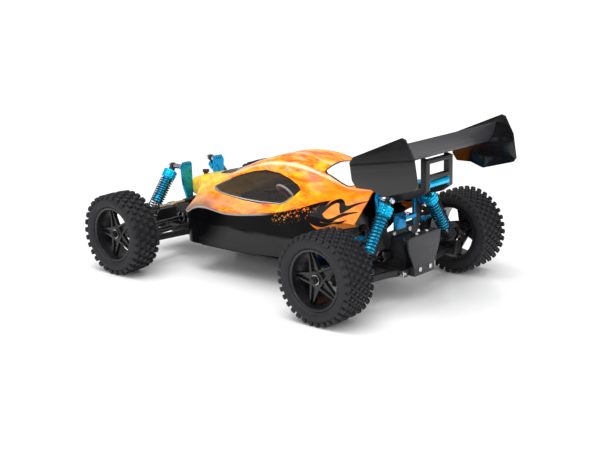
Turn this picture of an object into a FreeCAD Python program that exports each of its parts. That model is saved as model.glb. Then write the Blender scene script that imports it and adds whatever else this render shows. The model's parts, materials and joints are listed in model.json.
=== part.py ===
import FreeCAD, Part
import math
import os

os.makedirs("parts", exist_ok=True)
V = FreeCAD.Vector

# Frame: +X forward, +Y left, +Z up, origin on the ground under the middle of the bounding box.
# All sizes in millimetres. Left-hand pieces are built first and mirrored to the right.

# Stance
FRONT_X = 155.5
REAR_X = -119.5
AXLE_Z = 42.3
TYRE_R = 42.3
FRONT_TYRE_Y = 109.6
REAR_TYRE_Y = 106.3
FRONT_TYRE_W = 31.6
REAR_TYRE_W = 38.3

# Suspension linkage: arm, upper link and drive shaft of one axle all have the same length
PIN_Z = AXLE_Z - 13.0
FRONT_PIN_IN = 23.0
FRONT_PIN_OUT = 87.0
REAR_PIN_IN = 22.0
REAR_PIN_OUT = 82.0
LINK_Z = 63.5
FRONT_LINK_IN = 20.0
FRONT_LINK_X = 141.0
REAR_LINK_IN = 19.0
REAR_LINK_X = -113.0
PIN_R = 1.5
PIN_FIT = 0.06

# Shock absorbers: plane, upper eye and lower eye (y, z)
FRONT_SHOCK_X = 161.0
FRONT_SHOCK_TOP = (28.5, 99.0)
FRONT_SHOCK_LOW = (70.5, 44.3)
REAR_SHOCK_X = -132.0
REAR_SHOCK_TOP = (29.0, 99.0)
REAR_SHOCK_LOW = (75.0, 36.5)
SHOCK_EYE_R = 3.5
SHOCK_CAP_R = 7.6
SHOCK_BODY_R = 5.0
SHOCK_ROD_R = 1.5
SPRING_R = 6.8
SPRING_WIRE_R = 0.65
SPRING_TURNS = 9

# Steering
STEER_LEVER = 25.5
STEER_X = FRONT_X - STEER_LEVER
TIE_Z = 40.4
TIE_EYE_SHIFT = 0.8
RACK_Z0 = 33.6
RACK_Z1 = 37.6
HORN_X = 114.0
HORN_Y = -30.0
HORN_Z = 50.0
HORN_LENGTH = 14.0

# Drive cups and shafts
CUP_R = 5.8
CUP_BORE_R = 4.3
BALL_R = 3.0
SHAFT_R = 1.8
JOURNAL_R = 2.5
BEARING_FIT = 0.05

# Gears
MODULE = 0.7
SPUR_TEETH = 44
PINION_TEETH = 21
SPUR_X = -60.0
GEAR_W = 6.0
CROWN_R = 11.6
CROWN_Y0 = 5.5
CROWN_Y1 = 9.0
MOTOR_Z = 47.5
MOTOR_R = 18.0
MOTOR_X0 = -49.0
MOTOR_X1 = 3.0

# Chassis and housings
CHASSIS_Z0 = 26.0
CHASSIS_Z1 = 29.0
HOUSING_HALF_X = 20.5
HOUSING_HALF_Y = 15.0
HOUSING_TOP = 60.0
TOWER_T = 3.0
FRONT_TOWER_X = 144.0
REAR_TOWER_X = -124.0

# Rear wing
WING_PLATE_Y = 78.3
WING_PLATE_T = 1.6
WING_STAY_X = -165.0
WING_STAY_Y = 18.0

# Body shell
SHELL_T = 1.2
FRONT_POST_X = 140.5
REAR_POST_X = -100.0
POST_R = 2.5
RADIO_TOP = 62.0


# ---------------------------------------------------------------- basic solids

def box(x0, x1, y0, y1, z0, z1):
    return Part.makeBox(x1 - x0, y1 - y0, z1 - z0, V(x0, y0, z0))


def rod(radius, start, end):
    axis = V(*end).sub(V(*start))
    return Part.makeCylinder(radius, axis.Length, V(*start), axis)


def cone(r0, r1, start, end):
    axis = V(*end).sub(V(*start))
    return Part.makeCone(r0, r1, axis.Length, V(*start), axis)


def plate(points, move):
    wire = Part.makePolygon(points + [points[0]])
    return Part.Face(wire).extrude(move)


def plate_x(outline, x0, x1):
    return plate([V(x0, y, z) for y, z in outline], V(x1 - x0, 0, 0))


def plate_y(outline, y0, y1):
    return plate([V(x, y0, z) for x, z in outline], V(0, y1 - y0, 0))


def plate_z(outline, z0, z1):
    return plate([V(x, y, z0) for x, y in outline], V(0, 0, z1 - z0))


def mirrored_outline(half):
    return half + [(-y, z) for y, z in reversed(half)]


def lathe(profile, x, z):
    # profile is a closed list of (y, radius) turned about the line along Y through (x, z)
    points = [V(x, y, z + r) for y, r in profile]
    wire = Part.makePolygon(points + [points[0]])
    return Part.Face(wire).revolve(V(x, 0, z), V(0, 1, 0), 360)


def join(shapes):
    return shapes[0].fuse(shapes[1:]).removeSplitter()


def cut(shape, tools):
    return shape.cut(Part.makeCompound(tools))


def hexagon_y(across, x, z, y0, y1):
    r = across / math.sqrt(3)
    corners = [(x + r * math.cos(k * math.pi / 3), z + r * math.sin(k * math.pi / 3)) for k in range(6)]
    return plate_y(corners, y0, y1)


def mirror_y(shape):
    return shape.mirror(V(0, 0, 0), V(0, 1, 0))


def save(node, solids):
    if len(solids) == 1:
        shape = solids[0]
    else:
        shape = Part.makeCompound(solids)
    shape.exportStep("parts/" + node + ".step")


def save_pair(node, solids):
    save(node + "_left", solids)
    save(node + "_right", [mirror_y(s) for s in solids])


# ---------------------------------------------------------------- wheels

def tyre(x, y, width, rows):
    half = width / 2
    lug = 2.4
    edge = half - 1.2
    step = 2 * edge / rows
    outer = [(-half + 2.4, 28.7), (-half + 0.4, 32.0), (-half, 36.0), (-half + 0.3, 39.2)]
    for k in range(rows):
        start = -edge + k * step
        drop = 0.7 * (abs(start + step / 2) / half) ** 2
        outer.append((start + 0.9, TYRE_R - lug - drop))
        outer.append((start + 0.9, TYRE_R - drop))
        outer.append((start + step - 0.9, TYRE_R - drop))
        outer.append((start + step - 0.9, TYRE_R - lug - drop))
    outer += [(half - 0.3, 39.2), (half, 36.0), (half - 0.4, 32.0), (half - 2.4, 28.7)]
    inner = [(half - 5.2, 28.7), (half - 2.6, 33.0), (half - 3.4, 37.2)]
    inner += [(-half + 3.4, 37.2), (-half + 2.6, 33.0), (-half + 5.2, 28.7)]
    ring = lathe([(y + a, r) for a, r in outer + inner], x, AXLE_Z)
    groove = box(x - 1.1, x + 1.1, y - half, y + half, AXLE_Z + TYRE_R - lug, AXLE_Z + TYRE_R + 1)
    grooves = []
    count = 22
    for k in range(count):
        copy = groove.copy()
        copy.rotate(V(x, y, AXLE_Z), V(0, 1, 0), k * 360.0 / count)
        grooves.append(copy)
    return cut(ring, grooves)


def rim(x, y, width, hub_out):
    half = width / 2 - 2.6
    hub_y = y + hub_out
    profile = [(y - half, 25.4), (y - half, 28.5), (y - half + 2.6, 28.5), (y - half + 2.6, 26.8)]
    profile += [(y + half - 2.6, 26.8), (y + half - 2.6, 28.5), (y + half, 28.5), (y + half, 25.4)]
    barrel = lathe(profile, x, AXLE_Z)
    pieces = [barrel, rod(7.5, (x, hub_y - 7.0, AXLE_Z), (x, hub_y, AXLE_Z))]
    for k in range(5):
        pieces.append(spoke(x, hub_y, k * 72.0))
    body = join(pieces)
    bore = rod(JOURNAL_R + 0.05, (x, hub_y - 20, AXLE_Z), (x, hub_y + 1, AXLE_Z))
    return cut(body, [bore])


def spoke(x, hub_y, angle):
    foot = AXLE_Z + 3
    tip = AXLE_Z + 26.2
    low = AXLE_Z + 8.4
    high = AXLE_Z + 22.0
    outline = [(x - 7.4, foot), (x - 2.6, tip), (x + 2.6, tip), (x + 7.4, foot)]
    window = [(x - 3.6, low), (x - 0.7, high), (x + 0.7, high), (x + 3.6, low)]
    solid = plate_y(outline, hub_y - 4.6, hub_y - 1.2).cut(plate_y(window, hub_y - 6, hub_y))
    solid.rotate(V(x, hub_y, AXLE_Z), V(0, 1, 0), angle)
    return solid


def stub_axle(x, joint_y, hub_y):
    # drive cup, journal, wheel hex and wheel nut on one spindle
    mouth = joint_y - 2.8
    floor = joint_y + 5.9
    cup = rod(CUP_R, (x, mouth, AXLE_Z), (x, floor + 0.8, AXLE_Z))
    cup = cup.cut(rod(CUP_BORE_R, (x, mouth - 1, AXLE_Z), (x, floor, AXLE_Z)))
    cup = cup.cut(box(x - 2.0, x + 2.0, mouth - 1, floor, AXLE_Z - 8, AXLE_Z + 8))
    spindle = rod(JOURNAL_R, (x, floor, AXLE_Z), (x, hub_y + 5.5, AXLE_Z))
    drive_hex = hexagon_y(12.0, x, AXLE_Z, hub_y - 12.0, hub_y - 7.05)
    nut = hexagon_y(7.0, x, AXLE_Z, hub_y + 0.05, hub_y + 4.0)
    flange = rod(4.6, (x, hub_y + 0.05, AXLE_Z), (x, hub_y + 1.0, AXLE_Z))
    return join([cup, spindle, drive_hex, nut, flange])


# ---------------------------------------------------------------- suspension

def lower_arm(x, pin_in, pin_out, shock, shock_x):
    # wishbone in plan, hinge barrels along X, a lug for the shock absorber's lower pin
    z0 = PIN_Z - 3.0
    z1 = PIN_Z + 3.0
    reach = 21.0
    tip = pin_out + 2.8
    waist = pin_out - 18
    outline = [(x - reach, pin_in), (x - 16, pin_in + 12), (x - 10.5, waist), (x - 10.5, tip)]
    outline += [(x + 10.5, tip), (x + 10.5, waist), (x + 16, pin_in + 12), (x + reach, pin_in)]
    web = plate_z(outline, z0, z1)
    barrel = rod(3.2, (x - reach, pin_in, PIN_Z), (x + reach, pin_in, PIN_Z))
    side = 1 if shock_x > x else -1
    lug_x = shock_x + side * 4.8
    y, z = shock
    lug = [(y - 7, z0), (y + 7, z0), (y + 3.4, z + 2.6), (y - 3.4, z + 2.6)]
    lug_plate = plate_x(lug, lug_x - 1.6, lug_x + 1.6)
    foot_x0 = min(x + side * 9, lug_x + 1.6)
    foot_x1 = max(x + side * 9, lug_x - 1.6 + side * 3.2)
    foot = box(foot_x0, foot_x1, y - 7, y + 7, z0, z1)
    pin = rod(PIN_R, (lug_x, y, z), (shock_x - side * 2.4, y, z))
    solid = join([web, barrel, lug_plate, foot, pin])
    window = [(x - 12, pin_in + 9), (x - 7.5, pin_out - 22), (x + 7.5, pin_out - 22), (x + 12, pin_in + 9)]
    fork = box(x - 6.4, x + 6.4, pin_out - 11, pin_out + 4, z0 - 1, z1 + 1)
    inner_bore = rod(PIN_R + PIN_FIT, (x - reach - 1, pin_in, PIN_Z), (x + reach + 1, pin_in, PIN_Z))
    outer_bore = rod(PIN_R + 0.01, (x - 12, pin_out, PIN_Z), (x + 12, pin_out, PIN_Z))
    arm = cut(solid, [plate_z(window, z0 - 1, z1 + 1), fork, inner_bore, outer_bore])
    outer_pin = rod(PIN_R, (x - 11.5, pin_out, PIN_Z), (x + 11.5, pin_out, PIN_Z))
    return [arm, outer_pin]


def link_stud(x_face, x_end, y):
    return rod(PIN_R, (x_face, y, LINK_Z), (x_end, y, LINK_Z))


def front_hub_carrier():
    # open C that holds the steering knuckle between its two ears
    x = FRONT_X
    y = FRONT_PIN_OUT
    web = box(x - 7, x + 7, y - 9.4, y - 6.4, AXLE_Z - 7.6, AXLE_Z + 11.7)
    low_web = box(x - 6, x + 6, y - 9.4, y - 6.4, AXLE_Z - 10, AXLE_Z - 7.6)
    top_ear = box(x - 5, x + 5, y - 9.4, y + 3.5, AXLE_Z + 8.5, AXLE_Z + 11.7)
    low_ear = box(x - 5, x + 5, y - 9.4, y + 3.5, AXLE_Z - 11.7, AXLE_Z - 8.5)
    top_pin = rod(PIN_R, (x, y, AXLE_Z + 8.5), (x, y, AXLE_Z + 6.7))
    low_pin = rod(PIN_R, (x, y, AXLE_Z - 8.5), (x, y, AXLE_Z - 6.7))
    lug = rod(3.1, (x - 6.2, y, PIN_Z), (x + 6.2, y, PIN_Z))
    face = FRONT_LINK_X + 2.4
    horn = [(x + 5, AXLE_Z + 11), (x - 5, AXLE_Z + 11), (face, LINK_Z - 4)]
    horn += [(face, LINK_Z + 3.4), (face + 4, LINK_Z + 3.4), (x + 3, AXLE_Z + 15)]
    link_y = FRONT_LINK_IN + FRONT_PIN_OUT - FRONT_PIN_IN
    bracket = plate_y(horn, link_y - 3.4, link_y + 3.4)
    stud = link_stud(face, FRONT_LINK_X - 2.6, link_y)
    solid = join([web, low_web, top_ear, low_ear, top_pin, low_pin, lug, bracket, stud])
    shaft_hole = rod(5.4, (x, y - 12, AXLE_Z), (x, y - 5, AXLE_Z))
    pin_bore = rod(PIN_R + PIN_FIT, (x - 8, y, PIN_Z), (x + 8, y, PIN_Z))
    return cut(solid, [shaft_hole, pin_bore])


def steering_knuckle():
    # bearing housing, two kingpin plates and the lever to the tie rod
    x = FRONT_X
    y = FRONT_PIN_OUT
    floor = y + 7.1
    housing = rod(8.2, (x, floor, AXLE_Z), (x, floor + 6.5, AXLE_Z))
    pieces = [housing]
    for z0, z1 in ((AXLE_Z + 6.4, AXLE_Z + 8.2), (AXLE_Z - 8.2, AXLE_Z - 6.4)):
        pieces.append(rod(4.2, (x, y, z0), (x, y, z1)))
        pieces.append(box(x - 4.2, x + 4.2, y, floor + 1.5, z0, z1))
    z_lever = TIE_Z - 2.8
    tip = (x - STEER_LEVER, y)
    lever = [(tip[0] - 3, tip[1] - 3), (tip[0] - 3, tip[1] + 3), (x - 7.2, floor + 5.5), (x - 2, floor + 5.5)]
    lever += [(x - 2, floor + 0.6), (x - 8, floor - 1.2), (tip[0] + 3, tip[1] - 3)]
    pieces.append(plate_z(lever, z_lever - 2.4, z_lever))
    pieces.append(rod(PIN_R, (tip[0], tip[1], z_lever - 1), (tip[0], tip[1], TIE_Z + 3.2)))
    solid = join(pieces)
    bearing = rod(JOURNAL_R + BEARING_FIT, (x, floor - 1, AXLE_Z), (x, floor + 8, AXLE_Z))
    kingpin = rod(PIN_R + PIN_FIT, (x, y, AXLE_Z - 12), (x, y, AXLE_Z + 12))
    cup_room = rod(CUP_R + 0.4, (x, y - 6, AXLE_Z), (x, floor, AXLE_Z))
    return cut(solid, [bearing, kingpin, cup_room])


def rear_hub_carrier():
    x = REAR_X
    y = REAR_PIN_OUT
    floor = y + 7.1
    housing = rod(8.4, (x, floor, AXLE_Z), (x, floor + 6.5, AXLE_Z))
    low = box(x - 5.8, x + 5.8, y - 3, floor + 2, AXLE_Z - 10.2, AXLE_Z - 6.4)
    lug = rod(3.1, (x - 6.2, y, PIN_Z), (x + 6.2, y, PIN_Z))
    link_y = REAR_LINK_IN + REAR_PIN_OUT - REAR_PIN_IN
    top = box(x - 5.8, x + 4.0, link_y - 3.4, floor + 2, AXLE_Z + 6.5, AXLE_Z + 10.4)
    face = REAR_LINK_X - 2.4
    post = box(face - 3.4, face, link_y - 3.4, link_y + 3.4, AXLE_Z + 6.5, LINK_Z + 3.4)
    stud = link_stud(face, REAR_LINK_X + 2.6, link_y)
    solid = join([housing, low, lug, top, post, stud])
    bearing = rod(JOURNAL_R + BEARING_FIT, (x, floor - 1, AXLE_Z), (x, floor + 8, AXLE_Z))
    pin_bore = rod(PIN_R + PIN_FIT, (x - 8, y, PIN_Z), (x + 8, y, PIN_Z))
    cup_room = rod(CUP_R + 0.4, (x, y - 6, AXLE_Z), (x, floor, AXLE_Z))
    return cut(solid, [bearing, pin_bore, cup_room])


def upper_link(x, y0, y1):
    # turnbuckle with a plastic eye at each end
    middle = rod(1.6, (x, y0 + 3, LINK_Z), (x, y1 - 3, LINK_Z))
    centre = (y0 + y1) / 2
    pieces = [middle, hexagon_y(5.0, x, LINK_Z, centre - 4, centre + 4)]
    for y, toward in ((y0, 1), (y1, -1)):
        pieces.append(rod(3.3, (x - 2.2, y, LINK_Z), (x + 2.2, y, LINK_Z)))
        pieces.append(rod(2.4, (x, y + toward * 2.6, LINK_Z), (x, y + toward * 14, LINK_Z)))
    bores = [rod(PIN_R + 0.1, (x - 3, y, LINK_Z), (x + 3, y, LINK_Z)) for y in (y0, y1)]
    return cut(join(pieces), bores)


def drive_shaft(x, y0, y1):
    # dog bone: a ball with a cross pin at each end
    pieces = [rod(SHAFT_R, (x, y0, AXLE_Z), (x, y1, AXLE_Z))]
    for y in (y0, y1):
        pieces.append(Part.makeSphere(BALL_R, V(x, y, AXLE_Z)))
        pieces.append(rod(0.8, (x, y, AXLE_Z - 5.0), (x, y, AXLE_Z + 5.0)))
    return join(pieces)


# ---------------------------------------------------------------- shock absorbers

def along(x, top, low, s):
    length = math.hypot(low[0] - top[0], low[1] - top[1])
    y = top[0] + (low[0] - top[0]) * s / length
    z = top[1] + (low[1] - top[1]) * s / length
    return (x, y, z)


def shock_marks(top, low):
    # distances from the upper eye: cap, body end, spring ends and lower eye
    length = math.hypot(low[0] - top[0], low[1] - top[1])
    marks = {"cap": 6.0, "body": 13.5, "seat": 15.5}
    marks["end"] = length - 24.5
    marks["perch"] = length - 13.0
    marks["eye"] = length
    return marks


def shock_body(x, top, low):
    marks = shock_marks(top, low)

    def at(s):
        return along(x, top, low, s)
    eye = rod(SHOCK_EYE_R, (x - 2.0, top[0], top[1]), (x + 2.0, top[0], top[1]))
    neck = rod(2.6, at(2.0), at(marks["cap"]))
    cap = rod(SHOCK_CAP_R, at(marks["cap"]), at(marks["body"]))
    seat = rod(SHOCK_CAP_R - 0.2, at(marks["body"]), at(marks["seat"]))
    tube = rod(SHOCK_BODY_R, at(marks["cap"]), at(marks["end"]))
    foot = rod(SHOCK_BODY_R + 0.4, at(marks["end"] - 4), at(marks["end"]))
    solid = join([eye, neck, cap, seat, tube, foot])
    bore = rod(SHOCK_ROD_R + 0.08, at(marks["body"] + 2), at(marks["end"] + 1))
    pin = rod(PIN_R + 0.1, (x - 4, top[0], top[1]), (x + 4, top[0], top[1]))
    return cut(solid, [bore, pin])


def shock_rod(x, top, low):
    marks = shock_marks(top, low)

    def at(s):
        return along(x, top, low, s)
    shaft = rod(SHOCK_ROD_R, at(marks["end"] - 6), at(marks["eye"] - 3))
    perch = rod(7.4, at(marks["perch"]), at(marks["perch"] + 2))
    end = rod(2.7, at(marks["perch"] + 1), at(marks["eye"] - 1.5))
    eye = rod(SHOCK_EYE_R, (x - 1.9, low[0], low[1]), (x + 1.9, low[0], low[1]))
    bore = rod(PIN_R + 0.8, (x - 4, low[0], low[1]), (x + 4, low[0], low[1]))
    return cut(join([shaft, perch, end, eye]), [bore])


def shock_spring(x, top, low):
    marks = shock_marks(top, low)
    start = marks["seat"] + SPRING_WIRE_R + 0.1
    length = marks["perch"] - marks["seat"] - 2 * SPRING_WIRE_R - 0.2
    path = Part.makeHelix(length / SPRING_TURNS, length, SPRING_R)
    section = Part.Wire([Part.makeCircle(SPRING_WIRE_R, V(SPRING_R, 0, 0), V(0, 1, 0))])
    coil = Part.Wire(path.Edges).makePipeShell([section], True, True)
    axis = V(*along(x, top, low, 1.0)).sub(V(*along(x, top, low, 0.0)))
    turn = FreeCAD.Rotation(V(0, 0, 1), axis)
    coil.Placement = FreeCAD.Placement(V(*along(x, top, low, start)), turn)
    return coil


# ---------------------------------------------------------------- steering

def tie_rod():
    x = STEER_X
    y0 = FRONT_PIN_IN
    y1 = FRONT_PIN_OUT
    pieces = [rod(1.5, (x, y0 + 3, TIE_Z), (x, y1 - 3, TIE_Z))]
    pieces.append(hexagon_y(4.5, x, TIE_Z, 52, 58))
    for y, toward in ((y0, 1), (y1, -1)):
        pieces.append(rod(4.0, (x, y, TIE_Z - 1.8), (x, y, TIE_Z + 1.8)))
        pieces.append(rod(1.7, (x, y + toward * 3.2, TIE_Z), (x, y + toward * 12, TIE_Z)))
    inner = rod(PIN_R + 0.7, (x, y0, TIE_Z - 4), (x, y0, TIE_Z + 4))
    eye_x = x + TIE_EYE_SHIFT
    outer = rod(PIN_R + TIE_EYE_SHIFT + 0.3, (eye_x, y1, TIE_Z - 4), (eye_x, y1, TIE_Z + 4))
    return cut(join(pieces), [inner, outer])


def drag_link():
    # cross bar under the centre shaft, a ball stud at each end and an arm to the servo horn
    x = STEER_X
    y = FRONT_PIN_IN
    bar = box(x - 3, x + 3, -y - 3.5, y + 3.5, RACK_Z0, RACK_Z1)
    studs = [rod(PIN_R, (x, side * y, RACK_Z1 - 1), (x, side * y, TIE_Z + 3.2)) for side in (-1, 1)]
    pin_z = HORN_Z - HORN_LENGTH
    arm = [(x - 3, -y), (x - 3, -y - 3.5), (HORN_X + 6, HORN_Y - 6), (HORN_X + 6, HORN_Y + 6), (x, -y + 6)]
    arm_plate = plate_z(arm, RACK_Z0, RACK_Z1)
    cheek = box(HORN_X + 3.4, HORN_X + 6, HORN_Y - 6, HORN_Y + 6, pin_z - 3.4, pin_z + 7.5)
    slot = box(HORN_X + 1, HORN_X + 9, HORN_Y - 1.9, HORN_Y + 1.9, pin_z - 1.9, pin_z + 6.0)
    return cut(join([bar, arm_plate, cheek] + studs), [slot])


def servo_horn():
    pin_z = HORN_Z - HORN_LENGTH
    hub = rod(4.5, (HORN_X, HORN_Y, HORN_Z), (HORN_X + 2.8, HORN_Y, HORN_Z))
    tip = rod(3.0, (HORN_X, HORN_Y, pin_z), (HORN_X + 2.8, HORN_Y, pin_z))
    arm = box(HORN_X, HORN_X + 2.8, HORN_Y - 2.6, HORN_Y + 2.6, pin_z, HORN_Z)
    pin = rod(PIN_R, (HORN_X + 2, HORN_Y, pin_z), (HORN_X + 5.6, HORN_Y, pin_z))
    return join([hub, tip, arm, pin])


# ---------------------------------------------------------------- drive train

def differential(x, side):
    # case, crown wheel on one side and a drive cup at each end; side is +1 for a crown on the left
    case = rod(6.5, (x, -9.5, AXLE_Z), (x, 9.5, AXLE_Z))
    crown = rod(CROWN_R, (x, side * CROWN_Y0, AXLE_Z), (x, side * CROWN_Y1, AXLE_Z))
    pieces = [case, crown]
    joint_y = FRONT_PIN_IN if x > 0 else REAR_PIN_IN
    for way in (-1, 1):
        pieces.append(rod(4.0, (x, way * 9, AXLE_Z), (x, way * 15.8, AXLE_Z)))
        cup = rod(CUP_R, (x, way * 15.4, AXLE_Z), (x, way * (joint_y + 3.2), AXLE_Z))
        cup = cup.cut(rod(CUP_BORE_R, (x, way * 16.2, AXLE_Z), (x, way * 30, AXLE_Z)))
        slot_y = sorted((way * 16.2, way * 30))
        slot = box(x - 1.4, x + 1.4, slot_y[0], slot_y[1], AXLE_Z - 8, AXLE_Z + 8)
        pieces.append(cup.cut(slot))
    return join(pieces)


def gear(teeth, x0, x1, y, z, phase):
    # straight-sided teeth; phase turns the wheel, in tooth pitches
    pitch_r = MODULE * teeth / 2
    outline = []
    for k in range(teeth):
        for part_of_pitch, radius in ((-0.27, -1.15), (-0.11, 0.9), (0.11, 0.9), (0.27, -1.15)):
            angle = 2 * math.pi * (k + phase + part_of_pitch) / teeth
            r = pitch_r + radius * MODULE
            outline.append((y + r * math.cos(angle), z + r * math.sin(angle)))
    return plate_x(outline, x0, x1)


def motor_y():
    distance = MODULE * (SPUR_TEETH + PINION_TEETH) / 2
    return -math.sqrt(distance ** 2 - (MOTOR_Z - AXLE_Z) ** 2)


def mesh_angle():
    return math.atan2(MOTOR_Z - AXLE_Z, motor_y())


def center_drive():
    phase = mesh_angle() / (2 * math.pi) * SPUR_TEETH
    spur = gear(SPUR_TEETH, SPUR_X - GEAR_W / 2, SPUR_X + GEAR_W / 2, 0, AXLE_Z, phase)
    boss = rod(5.0, (SPUR_X - 6, 0, AXLE_Z), (SPUR_X + 6, 0, AXLE_Z))
    shaft = rod(JOURNAL_R, (REAR_X + 8, 0, AXLE_Z), (FRONT_X - 8, 0, AXLE_Z))
    rear = cone(2.8, 4.9, (REAR_X + 7.2, 0, AXLE_Z), (REAR_X + 11.4, 0, AXLE_Z))
    front = cone(2.8, 4.9, (FRONT_X - 7.2, 0, AXLE_Z), (FRONT_X - 11.4, 0, AXLE_Z))
    return join([spur, boss, shaft, rear, front])


def motor_pinion():
    # a gap of the pinion faces the spur's tooth on the line between the two centres
    phase = (mesh_angle() + math.pi) / (2 * math.pi) * PINION_TEETH + 0.5
    wheel = gear(PINION_TEETH, SPUR_X - 2.5, SPUR_X + 2.5, motor_y(), MOTOR_Z, phase)
    boss = rod(4.5, (SPUR_X - 6, motor_y(), MOTOR_Z), (SPUR_X, motor_y(), MOTOR_Z))
    shaft = rod(1.6, (SPUR_X - 7, motor_y(), MOTOR_Z), (MOTOR_X0 + 6, motor_y(), MOTOR_Z))
    return join([wheel, boss, shaft])


def motor():
    y = motor_y()
    can = rod(MOTOR_R, (MOTOR_X0, y, MOTOR_Z), (MOTOR_X1 - 8, y, MOTOR_Z))
    bell = rod(MOTOR_R - 1.5, (MOTOR_X1 - 8, y, MOTOR_Z), (MOTOR_X1, y, MOTOR_Z))
    nose = rod(6.5, (MOTOR_X0 - 3, y, MOTOR_Z), (MOTOR_X0, y, MOTOR_Z))
    body = join([can, bell, nose])
    shaft_hole = rod(1.7, (MOTOR_X0 - 4, y, MOTOR_Z), (MOTOR_X0 + 7, y, MOTOR_Z))
    return body.cut(shaft_hole)


# ---------------------------------------------------------------- chassis

def chassis_plate():
    half = [(-144.5, 16), (-92.5, 16), (-70, 36), (-58, 53), (96, 53), (108, 42), (124, 17), (186, 17)]
    outline = half + [(x, -y) for x, y in reversed(half)]
    plate_solid = plate_z(outline, CHASSIS_Z0, CHASSIS_Z1)
    slot = box(SPUR_X - 5, SPUR_X + 5, -14, 14, CHASSIS_Z0 - 1, CHASSIS_Z1 + 1)
    return plate_solid.cut(slot)


def motor_mount():
    y = motor_y()
    outline = [(y - 19, CHASSIS_Z1), (y - 19, 58), (y - 8, 67)]
    outline += [(y + 8, 67), (y + 16, 58), (y + 16, CHASSIS_Z1)]
    solid = plate_x(outline, MOTOR_X0 - 3, MOTOR_X0)
    return solid.cut(rod(6.6, (MOTOR_X0 - 5, y, MOTOR_Z), (MOTOR_X0 + 2, y, MOTOR_Z)))


def gearbox_housing(x, inner_pin_y, shaft_side, post):
    # closed domed case round the differential with the hinge-pin holders at its two ends
    hx = HOUSING_HALF_X
    outline = [(x + hx, CHASSIS_Z1)]
    for k in range(19):
        angle = math.radians(10 * k)
        outline.append((x + hx * math.cos(angle), AXLE_Z + (HOUSING_TOP - AXLE_Z) * math.sin(angle)))
    outline.append((x - hx, CHASSIS_Z1))
    case = plate_y(outline, -HOUSING_HALF_Y, HOUSING_HALF_Y)
    holder = [(17.4, CHASSIS_Z1), (17.4, PIN_Z - 3.2), (inner_pin_y + 3.6, PIN_Z - 3.2)]
    holder += [(inner_pin_y + 3.6, PIN_Z + 3.4)]
    pieces = [case, post]
    for x0 in (x - 25.8, x + 21.4):
        pieces.append(plate_x(mirrored_outline(holder), x0, x0 + 4.4))
    pieces.append(box(x - 25, x + 25, -9, 9, CHASSIS_Z1, CHASSIS_Z1 + 3.0))
    solid = join(pieces)
    room = rod(CROWN_R + 0.6, (x, -12.4, AXLE_Z), (x, 12.4, AXLE_Z))
    journals = rod(4.0 + BEARING_FIT, (x, -20, AXLE_Z), (x, 20, AXLE_Z))
    shaft = rod(JOURNAL_R + BEARING_FIT, (x, 0, AXLE_Z), (x + shaft_side * 30, 0, AXLE_Z))
    pinion_room = rod(5.4, (x, 0, AXLE_Z), (x + shaft_side * 13.0, 0, AXLE_Z))
    tools = [room, journals, shaft, pinion_room]
    for side in (-1, 1):
        y = side * inner_pin_y
        tools.append(rod(PIN_R + 0.01, (x - 30, y, PIN_Z), (x + 30, y, PIN_Z)))
    return cut(solid, tools)


def inner_pins(x, inner_pin_y):
    pins = []
    for side in (-1, 1):
        y = side * inner_pin_y
        pins.append(rod(PIN_R, (x - 26.6, y, PIN_Z), (x + 26.6, y, PIN_Z)))
    return pins


def body_post(x, z0, seat, top):
    # the shell rests on the collar and the knob stands above it
    post = rod(POST_R, (x, 0, z0), (x, 0, top))
    collar = rod(POST_R + 3.0, (x, 0, seat - 1.6), (x, 0, seat))
    knob = rod(POST_R + 1.2, (x, 0, top - 2.6), (x, 0, top))
    return join([post, collar, knob])


def tower(x0, ear_in, ear_out, top_z, shock_x, shock_top, link_in, link_x, cut_bottom):
    # blue plate with two ears; studs carry the shock absorber and the upper link
    bridge = HOUSING_TOP + 5.0
    half = [(15.4, cut_bottom), (15.4, HOUSING_TOP + 0.3), (0, HOUSING_TOP + 0.3)]
    ear = [(0, bridge), (ear_in, bridge), (ear_in, top_z - 2), (ear_in + 2, top_z)]
    ear += [(ear_out - 3, top_z), (ear_out, top_z - 5), (ear_out - 1.5, 80)]
    ear += [(ear_out - 7, 62), (21, cut_bottom)]
    left = plate_x(half + ear, x0, x0 + TOWER_T)
    pieces = [left, mirror_y(left)]
    near = x0 if shock_x < x0 else x0 + TOWER_T
    way = -1 if shock_x < x0 else 1
    link_face = x0 if link_x < x0 else x0 + TOWER_T
    link_end = link_x - 2.6 if link_x < x0 else link_x + 2.6
    for side in (-1, 1):
        y = side * shock_top[0]
        z = shock_top[1]
        pieces.append(rod(PIN_R, (near, y, z), (shock_x + way * 2.6, y, z)))
        pieces.append(rod(2.8, (near, y, z), (shock_x - way * 2.8, y, z)))
        pieces.append(rod(PIN_R, (link_face, side * link_in, LINK_Z), (link_end, side * link_in, LINK_Z)))
    solid = join(pieces)
    holes = []
    for side in (-1, 1):
        for y, z in ((2.6, -2.8), (5.6, -2.8), (8.6, -2.8), (3.4, -11), (5.4, -18)):
            start = (x0 - 1, side * (ear_in + y), top_z + z)
            end = (x0 + TOWER_T + 1, side * (ear_in + y), top_z + z)
            holes.append(rod(0.95, start, end))
    return cut(solid, holes)


def tail_clamp():
    # bent tab that stands on the rear tower and points backwards over the gearbox
    x1 = REAR_TOWER_X + TOWER_T
    upright = box(REAR_TOWER_X, x1, -8, 8, HOUSING_TOP + 4.0, 80)
    shelf = box(REAR_TOWER_X - 12, x1, -8, 8, 77, 80)
    tab = join([upright, shelf])
    screw_hole = rod(1.5, (REAR_TOWER_X - 6.5, 0, 76), (REAR_TOWER_X - 6.5, 0, 81))
    return tab.cut(screw_hole)


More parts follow.
